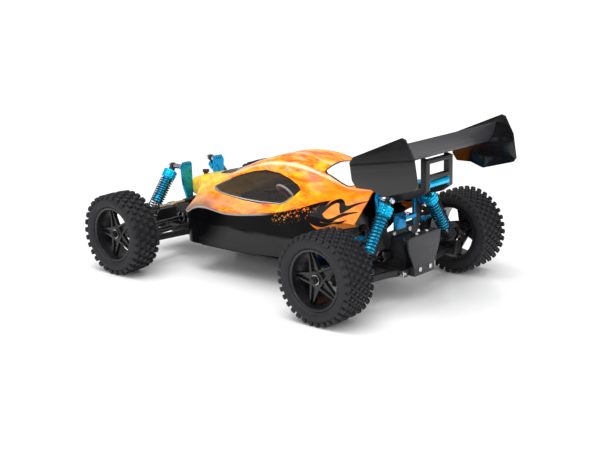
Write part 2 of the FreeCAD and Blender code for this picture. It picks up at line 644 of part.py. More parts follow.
def front_bumper():
    half = [(187.2, 14), (187.2, 26), (192, 38), (197, 40), (200, 36), (201.3, 22)]
    outline = half + [(x, -y) for x, y in reversed(half)]
    blade = plate_z(outline, 26.5, 31.5)
    lip = plate_z([(194, 34), (199, 34), (201.3, 20), (201.3, -20), (199, -34), (194, -34)], 31.5, 44)
    stem = box(182.6, 189, -12, 12, CHASSIS_Z1, 33)
    return join([blade, lip, stem])


def rear_bumper():
    outline = mirrored_outline([(16, 33.6), (17.5, 38), (20, 43), (23, 49), (24.9, 56), (25.5, 63.2)])
    panel = plate_x(outline, -151.5, -149.6)
    lower = plate_x(mirrored_outline([(16, 29.0), (16, 34.5)]), -151.5, -145.6)
    ledge = box(-151.5, -144, -24, 24, 61.4, 64.6)
    brace = box(-151, -141.0, -10, 10, 56.4, 61.4)
    foot = box(-151.5, -145.6, -16, 16, CHASSIS_Z0, 29.0)
    return join([panel, lower, ledge, brace, foot])


def wing():
    outline = [(-126.5, 141.5), (-130.5, 147), (-184, 169.2), (-188, 168), (-197, 152), (-200.8, 129)]
    outline += [(-198, 125), (-164.5, 115.6), (-160.5, 116.5), (-150, 120), (-134, 119.7), (-129, 126)]
    left = plate_y(outline, WING_PLATE_Y - WING_PLATE_T / 2, WING_PLATE_Y + WING_PLATE_T / 2)
    top = [(-131, 134.4), (-150, 138.0), (-169, 143.6), (-174, 151), (-176.6, 161.2)]
    under = [(-178.2, 160.8), (-175.6, 150.2), (-170.2, 142.2), (-150.4, 136.4), (-131.2, 132.8)]
    plane = plate_y(top + under, -WING_PLATE_Y, WING_PLATE_Y)
    return join([left, mirror_y(left), plane])


def wing_stay():
    x = WING_STAY_X
    pieces = []
    for side in (-1, 1):
        y = side * WING_STAY_Y
        arm = [(-124.2, 93), (-124.2, 103), (-132, 107), (-150, 109), (x + 3, 112), (x + 3, 139.6)]
        arm += [(x - 3, 138.2), (x - 3, 110), (-158, 103), (-140, 98)]
        pieces.append(plate_y(arm, y - 3, y + 3))
    pieces.append(box(x - 3, x + 3, -21, 21, 134.6, 138.2))
    pieces.append(box(x - 3, x + 3, -21, 21, 119.6, 123.0))
    pieces.append(rod(3.4, (x, -15.5, 115.0), (x, 15.5, 115.0)))
    pieces.append(box(-136, -126, -21, 21, 96, 101))
    return join(pieces)


# ---------------------------------------------------------------- body shell

SECTIONS = [
    (152.0, (12, 69), (14.4, 74), (13.6, 79), (8, 83), 84.5),
    (140.0, (15, 66), (18, 73), (16, 81.5), (10, 86.5), 88.0),
    (128.0, (22, 60), (25.5, 72), (21, 84), (13, 89), 91.0),
    (112.0, (50, 36), (56, 63), (34, 80), (20, 91), 94.5),
    (103.0, (62, 31), (65, 66), (40, 84), (23, 94), 97.0),
    (75.0, (62, 30.5), (71, 73), (50, 90), (30, 99), 104.5),
    (40.0, (60.5, 30.5), (75, 74), (54, 87), (33, 112), 117.0),
    (5.0, (58, 31), (76, 77), (56, 87), (34, 121), 126.5),
    (-30.0, (56, 33), (76, 83), (57, 92), (34, 121), 127.0),
    (-58.0, (57, 40), (76, 86), (56, 97), (31, 114), 119.5),
    (-85.0, (60, 66), (72, 84), (50, 98), (27, 104.5), 105.5),
    (-116.0, (58, 77.5), (61, 80), (42, 97), (29, 106.5), 103.5),
]


def smooth(a, b, c, d):
    # midpoint between b and c on a curve through all four
    return tuple((9 * (q + r) - (p + s)) / 16 for p, q, r, s in zip(a, b, c, d))


def refine(row):
    out = []
    last = len(row) - 1
    for k in range(last):
        before = row[max(k - 1, 0)]
        after = row[min(k + 2, last)]
        out.append(row[k])
        out.append(smooth(before, row[k], row[k + 1], after))
    out.append(row[last])
    return out


def shell_grid():
    rows = []
    for x, low, crease, shoulder, edge, top in SECTIONS:
        half = [low, crease, shoulder, edge]
        points = [(x, y, z) for y, z in half] + [(x, 0.0, top)] + [(x, -y, z) for y, z in reversed(half)]
        rows.append(points)
    columns = [refine(list(column)) for column in zip(*rows)]
    rows = [list(row) for row in zip(*columns)]
    return [split_sides(row) for row in rows]


def split_sides(row):
    # the side panels stay flat between the lower edge and the crease, the top is rounded
    top = refine(row[1:-1])
    return [row[0]] + top + [row[-1]]


def inner_grid(outer):
    # points moved inwards across the section by the sheet's thickness
    rows = []
    for row in outer:
        moved = []
        last = len(row) - 1
        for k in range(last + 1):
            before = row[max(k - 1, 0)]
            after = row[min(k + 1, last)]
            dy = after[1] - before[1]
            dz = after[2] - before[2]
            size = math.hypot(dy, dz)
            x, y, z = row[k]
            moved.append((x, y - dz / size * SHELL_T, z + dy / size * SHELL_T))
        rows.append(moved)
    return rows


def quad(a, b, c, d):
    faces = []
    for corners in ((a, b, c), (a, c, d)):
        points = [V(*p) for p in corners]
        faces.append(Part.Face(Part.makePolygon(points + [points[0]])))
    return faces


def body_shell():
    outer = shell_grid()
    inner = inner_grid(outer)
    rows = len(outer)
    columns = len(outer[0])
    faces = []
    for i in range(rows - 1):
        for j in range(columns - 1):
            faces += quad(outer[i][j], outer[i + 1][j], outer[i + 1][j + 1], outer[i][j + 1])
            faces += quad(inner[i][j], inner[i + 1][j], inner[i + 1][j + 1], inner[i][j + 1])
    for i in range(rows - 1):
        for j in (0, columns - 1):
            faces += quad(outer[i][j], outer[i + 1][j], inner[i + 1][j], inner[i][j])
    for j in range(columns - 1):
        for i in (0, rows - 1):
            faces += quad(outer[i][j], outer[i][j + 1], inner[i][j + 1], inner[i][j])
    shell = Part.makeShell(faces)
    shell.sewShape()
    solid = Part.makeSolid(shell)
    if solid.Volume < 0:
        solid.reverse()
    holes = [rod(POST_R + 1.6, (x, 0, 60), (x, 0, 130)) for x in (FRONT_POST_X, REAR_POST_X)]
    return cut(solid, holes)


# ---------------------------------------------------------------- power and radio

def battery_pack():
    case = box(-49, 86, 8, 52, CHASSIS_Z1, 53.5)
    return case.makeFillet(8.0, [e for e in case.Edges if abs(e.Length - 135) < 0.1])


def servo():
    body = box(74, 112.6, -44, -24.4, CHASSIS_Z1, 65)
    neck = rod(5.5, (112.6, HORN_Y, HORN_Z), (HORN_X - 0.4, HORN_Y, HORN_Z))
    return join([body, neck])


def radio_box():
    return box(20, 62, -48, -8, CHASSIS_Z1, RADIO_TOP)


# ---------------------------------------------------------------- nodes

save_pair("front_tyre", [tyre(FRONT_X, FRONT_TYRE_Y, FRONT_TYRE_W, 4)])
save_pair("rear_tyre", [tyre(REAR_X, REAR_TYRE_Y, REAR_TYRE_W, 5)])
save_pair("front_rim", [rim(FRONT_X, FRONT_TYRE_Y, FRONT_TYRE_W, 8.0)])
save_pair("rear_rim", [rim(REAR_X, REAR_TYRE_Y, REAR_TYRE_W, 13.0)])
save_pair("front_stub_axle", [stub_axle(FRONT_X, FRONT_PIN_OUT, FRONT_TYRE_Y + 8.0)])
save_pair("rear_stub_axle", [stub_axle(REAR_X, REAR_PIN_OUT, REAR_TYRE_Y + 13.0)])
save_pair("steering_knuckle", [steering_knuckle()])
save_pair("front_hub_carrier", [front_hub_carrier()])
save_pair("rear_hub_carrier", [rear_hub_carrier()])
save_pair("front_lower_arm", lower_arm(FRONT_X, FRONT_PIN_IN, FRONT_PIN_OUT, FRONT_SHOCK_LOW, FRONT_SHOCK_X))
save_pair("rear_lower_arm", lower_arm(REAR_X, REAR_PIN_IN, REAR_PIN_OUT, REAR_SHOCK_LOW, REAR_SHOCK_X))
front_link_out = FRONT_LINK_IN + FRONT_PIN_OUT - FRONT_PIN_IN
rear_link_out = REAR_LINK_IN + REAR_PIN_OUT - REAR_PIN_IN
save_pair("front_upper_link", [upper_link(FRONT_LINK_X, FRONT_LINK_IN, front_link_out)])
save_pair("rear_upper_link", [upper_link(REAR_LINK_X, REAR_LINK_IN, rear_link_out)])
save_pair("front_drive_shaft", [drive_shaft(FRONT_X, FRONT_PIN_IN, FRONT_PIN_OUT)])
save_pair("rear_drive_shaft", [drive_shaft(REAR_X, REAR_PIN_IN, REAR_PIN_OUT)])
for name, x, top, low in (
    ("front", FRONT_SHOCK_X, FRONT_SHOCK_TOP, FRONT_SHOCK_LOW),
    ("rear", REAR_SHOCK_X, REAR_SHOCK_TOP, REAR_SHOCK_LOW),
):
    save_pair(name + "_shock_body", [shock_body(x, top, low)])
    save_pair(name + "_shock_rod", [shock_rod(x, top, low)])
    save_pair(name + "_spring", [shock_spring(x, top, low)])
save_pair("tie_rod", [tie_rod()])
save("drag_link", [drag_link()])
save("servo_horn", [servo_horn()])
save("front_differential", [differential(FRONT_X, -1)])
save("rear_differential", [differential(REAR_X, 1)])
save("center_drive", [center_drive()])
save("motor_pinion", [motor_pinion()])
save("motor", [motor(), motor_mount()])
save("chassis_plate", [chassis_plate()])
front_post = body_post(FRONT_POST_X, 51.0, 84.4, 92.4)
rear_post = body_post(REAR_POST_X, 46.5, 102.4, 109.0)
housings = [gearbox_housing(FRONT_X, FRONT_PIN_IN, -1, front_post)]
housings += [gearbox_housing(REAR_X, REAR_PIN_IN, 1, rear_post)]
housings += inner_pins(FRONT_X, FRONT_PIN_IN) + inner_pins(REAR_X, REAR_PIN_IN)
save("gearbox_housings", housings)
front_tower = tower(
    FRONT_TOWER_X, 17.0, 31.5, 104.0, FRONT_SHOCK_X, FRONT_SHOCK_TOP, FRONT_LINK_IN, FRONT_LINK_X, 47.0)
rear_tower = tower(
    REAR_TOWER_X, 21.5, 36.0, 107.0, REAR_SHOCK_X, REAR_SHOCK_TOP, REAR_LINK_IN, REAR_LINK_X, 49.5)
save("shock_towers", [front_tower, join([rear_tower, tail_clamp()])])
save("bumpers", [front_bumper(), rear_bumper()])
save("rear_wing", [wing()])
save("wing_stay", [wing_stay()])
save("body_shell", [body_shell()])
save("battery_pack", [battery_pack()])
save("radio_gear", [servo(), radio_box()])
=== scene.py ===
import json
import math

import bmesh
import bpy
from mathutils import Matrix, Vector


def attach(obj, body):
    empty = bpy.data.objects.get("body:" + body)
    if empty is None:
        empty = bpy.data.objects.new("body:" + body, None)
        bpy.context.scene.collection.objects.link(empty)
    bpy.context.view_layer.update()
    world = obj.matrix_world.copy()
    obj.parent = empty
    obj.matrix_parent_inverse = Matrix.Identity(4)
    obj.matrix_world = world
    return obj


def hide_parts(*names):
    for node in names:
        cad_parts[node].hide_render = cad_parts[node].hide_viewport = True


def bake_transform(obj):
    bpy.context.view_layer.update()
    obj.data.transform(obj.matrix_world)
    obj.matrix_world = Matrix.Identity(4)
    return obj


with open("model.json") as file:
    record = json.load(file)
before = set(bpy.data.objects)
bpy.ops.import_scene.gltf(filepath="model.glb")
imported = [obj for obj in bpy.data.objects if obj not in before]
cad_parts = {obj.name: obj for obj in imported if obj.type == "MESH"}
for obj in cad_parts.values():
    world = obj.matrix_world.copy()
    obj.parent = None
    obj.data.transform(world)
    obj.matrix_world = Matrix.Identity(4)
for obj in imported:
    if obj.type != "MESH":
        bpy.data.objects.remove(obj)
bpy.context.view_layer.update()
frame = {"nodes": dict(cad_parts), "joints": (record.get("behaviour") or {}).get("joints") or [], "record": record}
RECORD = frame["record"]
JOINTS = {joint["name"]: joint for joint in frame["joints"]}
NODES = frame["nodes"]
BODY_OF = {node: body for body, nodes in RECORD["behaviour"]["bodies"].items() for node in nodes}
MM = 0.001
SIDES = (("left", 1), ("right", -1))
ENDS = ("front", "rear")


# ---------------------------------------------------------------- camera, light and floor

LENS = 70.31
SENSOR_WIDTH = 36.0
CAMERA_PLACE = (-0.77293, 0.86466, 0.3393)
CAMERA_RIGHT = Vector((-0.74746, -0.66382, -0.02537))
CAMERA_UP = Vector((0.14207, -0.19703, 0.97005))
CAMERA_AHEAD = Vector((0.64893, -0.72147, -0.24158))
WORLD_STRENGTH = 0.42
SKY_STRENGTH = 2.15
SKY_SPREAD = 75
SKY_TILT = (-14, -8)
# name, place, point aimed at, size, power
AREA_LIGHTS = (
    ("overhead", (0.1, 0.35, 1.3), (0, 0, 0.05), (1.3, 0.5), 8),
    ("left_side", (-0.7, 1.5, 0.7), (0, 0, 0.06), (0.9, 0.35), 7),
    ("behind", (-1.5, -0.3, 0.8), (0, 0, 0.08), (0.7, 0.5), 5),
)
FLOOR_REACH = 60.0
FLOOR_DROP = 0.0003
FLOOR_COLOURS = ((0.94, 0.94, 0.945), (0.955, 0.955, 0.955))
MIRROR_NEAR = 0.2  # the floor reflects at this distance from the middle, and not beyond MIRROR_FAR
MIRROR_FAR = 0.75


def show(obj):
    bpy.context.scene.collection.objects.link(obj)
    return obj


def camera():
    data = bpy.data.cameras.new("camera")
    data.lens = LENS
    data.sensor_width = SENSOR_WIDTH
    view = show(bpy.data.objects.new("camera", data))
    turn = Matrix((CAMERA_RIGHT, CAMERA_UP, -CAMERA_AHEAD)).transposed().to_4x4()
    view.matrix_world = Matrix.Translation(CAMERA_PLACE) @ turn
    bpy.context.scene.camera = view


def area_light(name, place, aim, size, power):
    data = bpy.data.lights.new(name, "AREA")
    data.shape = "RECTANGLE"
    data.size, data.size_y = size
    data.energy = power
    light = show(bpy.data.objects.new(name, data))
    light.location = place
    light.rotation_euler = (Vector(aim) - Vector(place)).to_track_quat("-Z", "Y").to_euler()


def studio():
    bpy.context.scene.view_settings.view_transform = "Standard"
    world = bpy.data.worlds.new("studio")
    world.use_nodes = True
    backdrop = world.node_tree.nodes["Background"]
    backdrop.inputs["Color"].default_value = (1, 1, 1, 1)
    backdrop.inputs["Strength"].default_value = WORLD_STRENGTH
    bpy.context.scene.world = world
    sky = bpy.data.lights.new("sky", "SUN")
    sky.energy = SKY_STRENGTH
    sky.angle = math.radians(SKY_SPREAD)
    lamp = show(bpy.data.objects.new("sky", sky))
    lamp.rotation_euler = (math.radians(SKY_TILT[0]), math.radians(SKY_TILT[1]), 0)
    for light in AREA_LIGHTS:
        area_light(*light)
    mesh = bpy.data.meshes.new("floor")
    reach = FLOOR_REACH
    corners = [(-reach, -reach, 0), (reach, -reach, 0), (reach, reach, 0), (-reach, reach, 0)]
    mesh.from_pydata(corners, [], [(0, 1, 2, 3)])
    floor = show(bpy.data.objects.new("floor", mesh))
    floor.location.z = -FLOOR_DROP
    mesh.materials.append(floor_material())


# ---------------------------------------------------------------- material helpers

# most of a noise's values lie between these two
NOISE_LOW = 0.3
NOISE_HIGH = 0.7


class Nodes:
    # a small builder for procedural materials on one Principled shader
    def __init__(self, name):
        self.material = bpy.data.materials.new(name)
        self.material.use_nodes = True
        self.tree = self.material.node_tree
        self.shader = self.tree.nodes["Principled BSDF"]
        self.coords = None

    def add(self, kind, **settings):
        node = self.tree.nodes.new(kind)
        for key, value in settings.items():
            setattr(node, key, value)
        return node

    def link(self, source, target):
        self.tree.links.new(source, target)

    def feed(self, socket, value):
        if hasattr(value, "is_output"):
            self.link(value, socket)
        else:
            socket.default_value = value

    def set(self, **values):
        for key, value in values.items():
            self.feed(self.shader.inputs[key.replace("_", " ")], value)

    def place(self):
        if self.coords is None:
            self.coords = self.add("ShaderNodeTexCoord").outputs["Object"]
        return self.coords

    def stretched(self, scale, rotation=(0, 0, 0)):
        node = self.add("ShaderNodeMapping")
        self.link(self.place(), node.inputs["Vector"])
        node.inputs["Scale"].default_value = scale
        node.inputs["Rotation"].default_value = rotation
        return node.outputs["Vector"]

    def math(self, operation, a, b=0.0):
        node = self.add("ShaderNodeMath", operation=operation)
        self.feed(node.inputs[0], a)
        self.feed(node.inputs[1], b)
        return node.outputs[0]

    def plus(self, a, b):
        return self.math("ADD", a, b)

    def minus(self, a, b):
        return self.math("SUBTRACT", a, b)

    def times(self, a, b):
        return self.math("MULTIPLY", a, b)

    def split(self):
        node = self.add("ShaderNodeSeparateXYZ")
        self.link(self.place(), node.inputs[0])
        return node.outputs

    def noise(self, scale, detail=4.0, rough=0.55, vector=None, distortion=0.0):
        node = self.add("ShaderNodeTexNoise")
        self.link(vector or self.place(), node.inputs["Vector"])
        node.inputs["Scale"].default_value = scale
        node.inputs["Detail"].default_value = detail
        node.inputs["Roughness"].default_value = rough
        node.inputs["Distortion"].default_value = distortion
        return node.outputs["Fac"]

    def ramp(self, value, stops):
        node = self.add("ShaderNodeValToRGB")
        self.feed(node.inputs["Fac"], value)
        elements = node.color_ramp.elements
        while len(elements) < len(stops):
            elements.new(0.5)
        for element, (position, colour) in zip(elements, stops):
            element.position = position
            element.color = (*colour, 1)
        return node.outputs["Color"]

    def drift(self, value, dark, light):
        # a colour that wanders with a noise
        return self.ramp(value, [(NOISE_LOW, dark), (NOISE_HIGH, light)])

    def step(self, value, low, high, out_low=0.0, out_high=1.0):
        node = self.add("ShaderNodeMapRange", interpolation_type="SMOOTHSTEP")
        self.feed(node.inputs["Value"], value)
        ends = (("From Min", low), ("From Max", high), ("To Min", out_low), ("To Max", out_high))
        for key, number in ends:
            node.inputs[key].default_value = number
        return node.outputs["Result"]

    def uneven(self, value, low, high):
        # a number that wanders with a noise
        return self.step(value, NOISE_LOW, NOISE_HIGH, low, high)

    def mix(self, factor, a, b):
        node = self.add("ShaderNodeMix", data_type="RGBA")
        self.feed(node.inputs["Factor"], factor)
        colour_inputs = [s for s in node.inputs if s.type == "RGBA"]
        self.feed(colour_inputs[0], a if hasattr(a, "is_output") else (*a, 1))
        self.feed(colour_inputs[1], b if hasattr(b, "is_output") else (*b, 1))
        return [s for s in node.outputs if s.type == "RGBA"][0]

    def curve(self, value, points):
        # a smooth line through (input, output) points, held at its two ends
        low = points[0][0]
        high = points[-1][0]
        scaled = self.add("ShaderNodeMapRange")
        self.feed(scaled.inputs["Value"], value)
        scaled.inputs["From Min"].default_value = low
        scaled.inputs["From Max"].default_value = high
        node = self.add("ShaderNodeFloatCurve")
        self.link(scaled.outputs["Result"], node.inputs["Value"])
        line = node.mapping.curves[0]
        places = [((p - low) / (high - low), out) for p, out in points]
        line.points[0].location = places[0]
        line.points[1].location = places[-1]
        for spot in places[1:-1]:
            line.points.new(*spot)
        node.mapping.update()
        return node.outputs["Value"]

    def bump(self, height, strength, distance):
        node = self.add("ShaderNodeBump")
        self.link(height, node.inputs["Height"])
        node.inputs["Strength"].default_value = strength
        node.inputs["Distance"].default_value = distance
        self.link(node.outputs["Normal"], self.shader.inputs["Normal"])


def floor_material():
    n = Nodes("studio_floor")
    n.set(Base_Color=n.drift(n.noise(3.0), *FLOOR_COLOURS), Roughness=0.18)
    x, y, _ = n.split()
    distance = n.math("SQRT", n.plus(n.times(x, x), n.times(y, y)))
    n.set(Specular_IOR_Level=n.step(distance, MIRROR_NEAR, MIRROR_FAR, 0.4, 0.0))
    return n.material


def grained(name, dark, light, rough, metal=0.0, scale=900.0, bump=0.15, specular=0.5):
    # a moulded or machined surface: fine grain, slow colour drift and uneven polish
    n = Nodes(name)
    fine = n.noise(scale, 3.0)
    slow = n.noise(scale / 14, 3.0)
    both = n.plus(n.times(fine, 0.4), n.times(slow, 0.6))
    n.set(Base_Color=n.drift(both, dark, light), Metallic=metal, Specular_IOR_Level=specular)
    n.set(Roughness=n.uneven(slow, rough - 0.05, rough + 0.06))
    n.bump(fine, bump, 0.08 * MM)
    return n.material


def brushed(name, dark, light, rough, axis_scale):
    # turned or drawn metal: fine lines run across the stretched direction
    n = Nodes(name)
    lines = n.noise(400.0, 2.0, vector=n.stretched(axis_scale))
    n.set(Base_Color=n.drift(lines, dark, light), Metallic=1.0)
    n.set(Roughness=n.uneven(n.noise(60.0, 2.0), rough - 0.04, rough + 0.08))
    n.bump(lines, 0.08, 0.04 * MM)
    return n.material


# ---------------------------------------------------------------- flame paint

# lines along the car, as (x, value): the top of the black pods, and the crease beside the roof
WAIST = ((-0.12, 0.094), (-0.085, 0.097), (-0.055, 0.0885), (-0.03, 0.082), (-0.005, 0.0775), (0.035, 0.0725),
         (0.075, 0.0735), (0.09, 0.070), (0.1, 0.065), (0.112, 0.062), (0.13, 0.0))
RIDGE = ((-0.116, 0.029), (-0.085, 0.0275), (-0.058, 0.0315), (-0.03, 0.0345), (0.005, 0.0345),
         (0.04, 0.0335), (0.075, 0.0305))
# black tongues on the rear flank and an orange lick inside the black: (x, height, half height) in millimetres
TONGUES = (
    ((-116.0, 98.6, 0.4), (-109.2, 95.3, 1.2), (-103.7, 92.0, 2.0), (-99.5, 90.4, 3.0), (-95.7, 93.2, 2.7),
     (-91.8, 95.8, 1.6), (-87.4, 94.9, 2.2), (-83.9, 90.4, 4.5), (-81.0, 84.0, 6.0)),
    ((-113.5, 88.8, 0.4), (-106.2, 87.3, 1.1), (-100.3, 85.5, 1.8), (-94.2, 81.8, 2.0), (-89.0, 81.3, 2.6),
     (-82.0, 84.0, 4.0)),
    ((-108.0, 82.4, 0.3), (-101.0, 80.1, 1.3), (-95.9, 79.2, 0.7), (-89.0, 77.5, 1.3), (-82.0, 76.0, 3.0)),
)
LICK = ((-86.0, 72.0, 2.5), (-80.0, 71.5, 2.2), (-74.0, 73.5, 1.5), (-71.0, 76.5, 0.3))
# curves work between 0 and 1, so heights and widths are scaled up in them and down again after
HEIGHT_GAIN = 5.0
WIDTH_GAIN = 100.0
FIRE = ((0.36, (0.68, 0.05, 0.002)), (0.44, (0.88, 0.14, 0.002)), (0.5, (0.96, 0.26, 0.003)),
        (0.58, (0.98, 0.39, 0.004)), (0.68, (0.99, 0.59, 0.008)), (0.85, (0.99, 0.68, 0.02)))
ROOF_PAINTED_HIGHLIGHT = (0.97, 0.56, 0.3)
WAIST_PAINTED_HIGHLIGHT = (0.84, 0.33, 0.16)
NOSE_SHADE = (0.12, 0.09, 0.09)
RIDGE_PAINTED_HIGHLIGHT = (1.0, 0.72, 0.5)
TAIL_DEEP = (0.84, 0.2, 0.002)
POD_BLACK = (0.0025, 0.0025, 0.003)
CREASE_PAINTED_HIGHLIGHT = (0.62, 0.6, 0.58)
PAINT_SPECULAR = 0.2
PAINT_COAT = 0.14
LIP_Z = (0.0368, 0.0378)  # a small step pressed along the foot of the pods


def flame_paint():
    # clear sheet painted from inside: yellow nose, orange and red flames, black pods
    n = Nodes("flame_paint")
    x, y, z = n.split()
    waist = n.curve(x, [(p, height * HEIGHT_GAIN) for p, height in WAIST])
    above = n.minus(z, n.math("DIVIDE", waist, HEIGHT_GAIN))
    side = n.math("ABSOLUTE", y)
    streaks = n.noise(70.0, 3.0, 0.5, vector=n.stretched((0.35, 1.2, 1.6), (0, 0.5, 0.35)), distortion=0.6)
    tail = n.times(n.step(x, -0.035, -0.075, 0.0, 0.65), n.step(z, 0.116, 0.104))
    fire = n.mix(tail, fire_colour(n, x, z, side, above, streaks), TAIL_DEEP)
    black = black_areas(n, x, z, side, above)
    colour = n.mix(black, fire, POD_BLACK)
    # painted highlight: a pale grey band along the top edge of the black pods, towards the nose
    line = n.times(n.step(above, -0.0021, -0.0012), n.step(above, 0.0004, -0.0003))
    line = n.times(line, n.step(x, -0.03, -0.005))
    n.set(Base_Color=n.mix(n.times(line, 0.6), colour, CREASE_PAINTED_HIGHLIGHT))
    n.set(Roughness=n.uneven(n.noise(35.0), 0.1, 0.2))
    # the black turns duller above a wavy line near its foot, and the tail has less glare
    wavy = n.plus(z, n.times(n.minus(streaks, 0.5), 0.012))
    foot = n.step(wavy, 0.05, 0.058, 0.3, 0.02)
    dull = n.times(black, n.minus(PAINT_SPECULAR, foot))
    dull = n.math("MAXIMUM", dull, n.times(tail, 0.22))
    n.set(Specular_IOR_Level=n.minus(PAINT_SPECULAR, dull))
    n.set(Coat_Weight=n.minus(PAINT_COAT, n.times(black, 0.1)), Coat_Roughness=0.03)
    lip = n.times(n.step(z, *LIP_Z), 0.5)
    n.bump(n.plus(n.noise(22.0, 2.0), lip), 0.16, 0.7 * MM)
    return n.material


def fire_colour(n, x, z, side, above, streaks):
    # clouds of flame, yellow at the nose, with painted highlights (pale streaks on the roof, a pink band above the
    # waist, bright ridges) and painted shade above the waist at the nose
    flow = n.stretched((0.55, 1.0, 1.3), (0, 0.35, 0.5))
    cloud = n.noise(52.0, 4.0, 0.55, vector=flow, distortion=1.2)
    wisps = n.noise(120.0, 4.0, 0.6, vector=flow, distortion=2.0)
    heat = n.plus(n.times(cloud, 0.72), n.times(wisps, 0.28))
    heat = n.plus(heat, n.step(x, 0.06, 0.11, 0.0, 0.2))
    # painted highlight: pale streaks lighten the top of the roof
    roof_highlight = n.times(n.step(streaks, 0.5, 0.66), n.step(z, 0.108, 0.124, 0.0, 0.8))
    fire = n.mix(roof_highlight, n.ramp(heat, FIRE), ROOF_PAINTED_HIGHLIGHT)
    # painted highlight: a pink streaky band just above the waist, from the middle to the nose
    waist_highlight = n.times(n.step(above, 0.022, 0.004), n.step(x, -0.03, 0.02))
    waist_highlight = n.times(waist_highlight, n.step(streaks, 0.36, 0.56))
    fire = n.mix(n.times(waist_highlight, 0.75), fire, WAIST_PAINTED_HIGHLIGHT)
    shade = n.times(n.step(above, 0.011, 0.001), n.step(x, 0.03, 0.075))
    fire = n.mix(n.times(shade, 0.75), fire, NOSE_SHADE)
    # painted highlight: a bright streak along the crease beside the roof
    off = n.math("ABSOLUTE", n.minus(side, n.curve(x, RIDGE)))
    ridge = n.times(n.step(off, 0.0026, 0.0006), n.step(z, 0.09, 0.1))
    ridge = n.times(ridge, n.step(streaks, 0.3, 0.55, 0.25, 0.75))
    return n.mix(ridge, fire, RIDGE_PAINTED_HIGHLIGHT)


def stroke(n, x, z, points):
    # a brush stroke along x through (x, centre height, half height) points, from tail to nose
    low = points[0][0] * MM
    high = points[-1][0] * MM
    centre = n.curve(x, [(px * MM, height * MM * HEIGHT_GAIN) for px, height, half in points])
    width = n.curve(x, [(px * MM, half * MM * WIDTH_GAIN) for px, height, half in points])
    off = n.math("ABSOLUTE", n.minus(z, n.times(centre, 1 / HEIGHT_GAIN)))
    mask = n.step(n.minus(off, n.times(width, 1 / WIDTH_GAIN)), 0.3 * MM, -0.3 * MM)
    soft = 0.4 * MM
    ends = n.times(n.step(x, low - soft, low + soft), n.step(x, high + soft, high - soft))
    return n.times(mask, ends)


def black_areas(n, x, z, side, above):
    # solid below the waist up to the tail, where three curling tongues reach back over the orange
    weave = n.noise(38.0, 2.0, 0.5, vector=n.stretched((0.6, 0.3, 1.0)), distortion=0.5)
    sway = n.times(n.minus(weave, 0.5), 0.006)
    end = n.step(n.plus(x, n.times(sway, 1.5)), -0.0845, -0.0825)
    black = n.times(n.step(above, 0.0006, -0.0002), end)
    high = n.plus(z, sway)
    for points in TONGUES:
        black = n.math("MAXIMUM", black, stroke(n, x, high, points))
    specks = n.times(n.step(n.noise(420.0, 2.0), 0.58, 0.63), n.step(above, -0.014, -0.005))
    specks = n.times(specks, n.times(n.step(x, -0.02, -0.035), n.step(weave, 0.4, 0.5)))
    black = n.minus(n.minus(black, specks), stroke(n, x, z, LICK))
    return n.times(n.math("MAXIMUM", black, 0.0), n.step(side, 0.012, 0.02))


# ---------------------------------------------------------------- other materials

def clear_sheet(name, tint, alpha):
    n = Nodes(name)
    smoke = n.noise(40.0, 3.0)
    lighter = tuple(min(1.0, c * 1.25) for c in tint)
    n.set(Base_Color=n.drift(smoke, tint, lighter), Alpha=alpha, Coat_Weight=0.5)
    n.set(Roughness=n.uneven(smoke, 0.05, 0.12))
    n.bump(smoke, 0.05, 0.4 * MM)
    return n.material


def wing_sheet(name, dark, light, rough):
    # thin gloss sheet with a pressed ridge that runs along it, less glossy towards its top
    n = Nodes(name)
    x, _, z = n.split()
    slow = n.noise(30.0, 3.0)
    n.set(Base_Color=n.drift(slow, dark, light), Roughness=n.uneven(slow, rough, rough + 0.09))
    run = n.plus(z, n.times(x, 0.16))
    ridge = n.times(n.step(run, 0.112, 0.1145), n.step(run, 0.1205, 0.118))
    ripple = n.noise(26.0, 1.0, vector=n.stretched((1.0, 0.4, 1.4), (0, 0.2, 0)))
    n.bump(n.plus(ridge, n.times(ripple, 1.2)), 0.35, 1.2 * MM)
    n.set(Specular_IOR_Level=n.step(run, 0.1, 0.125, 0.42, 0.2), Coat_Weight=0.1, Coat_Roughness=0.05)
    return n.material


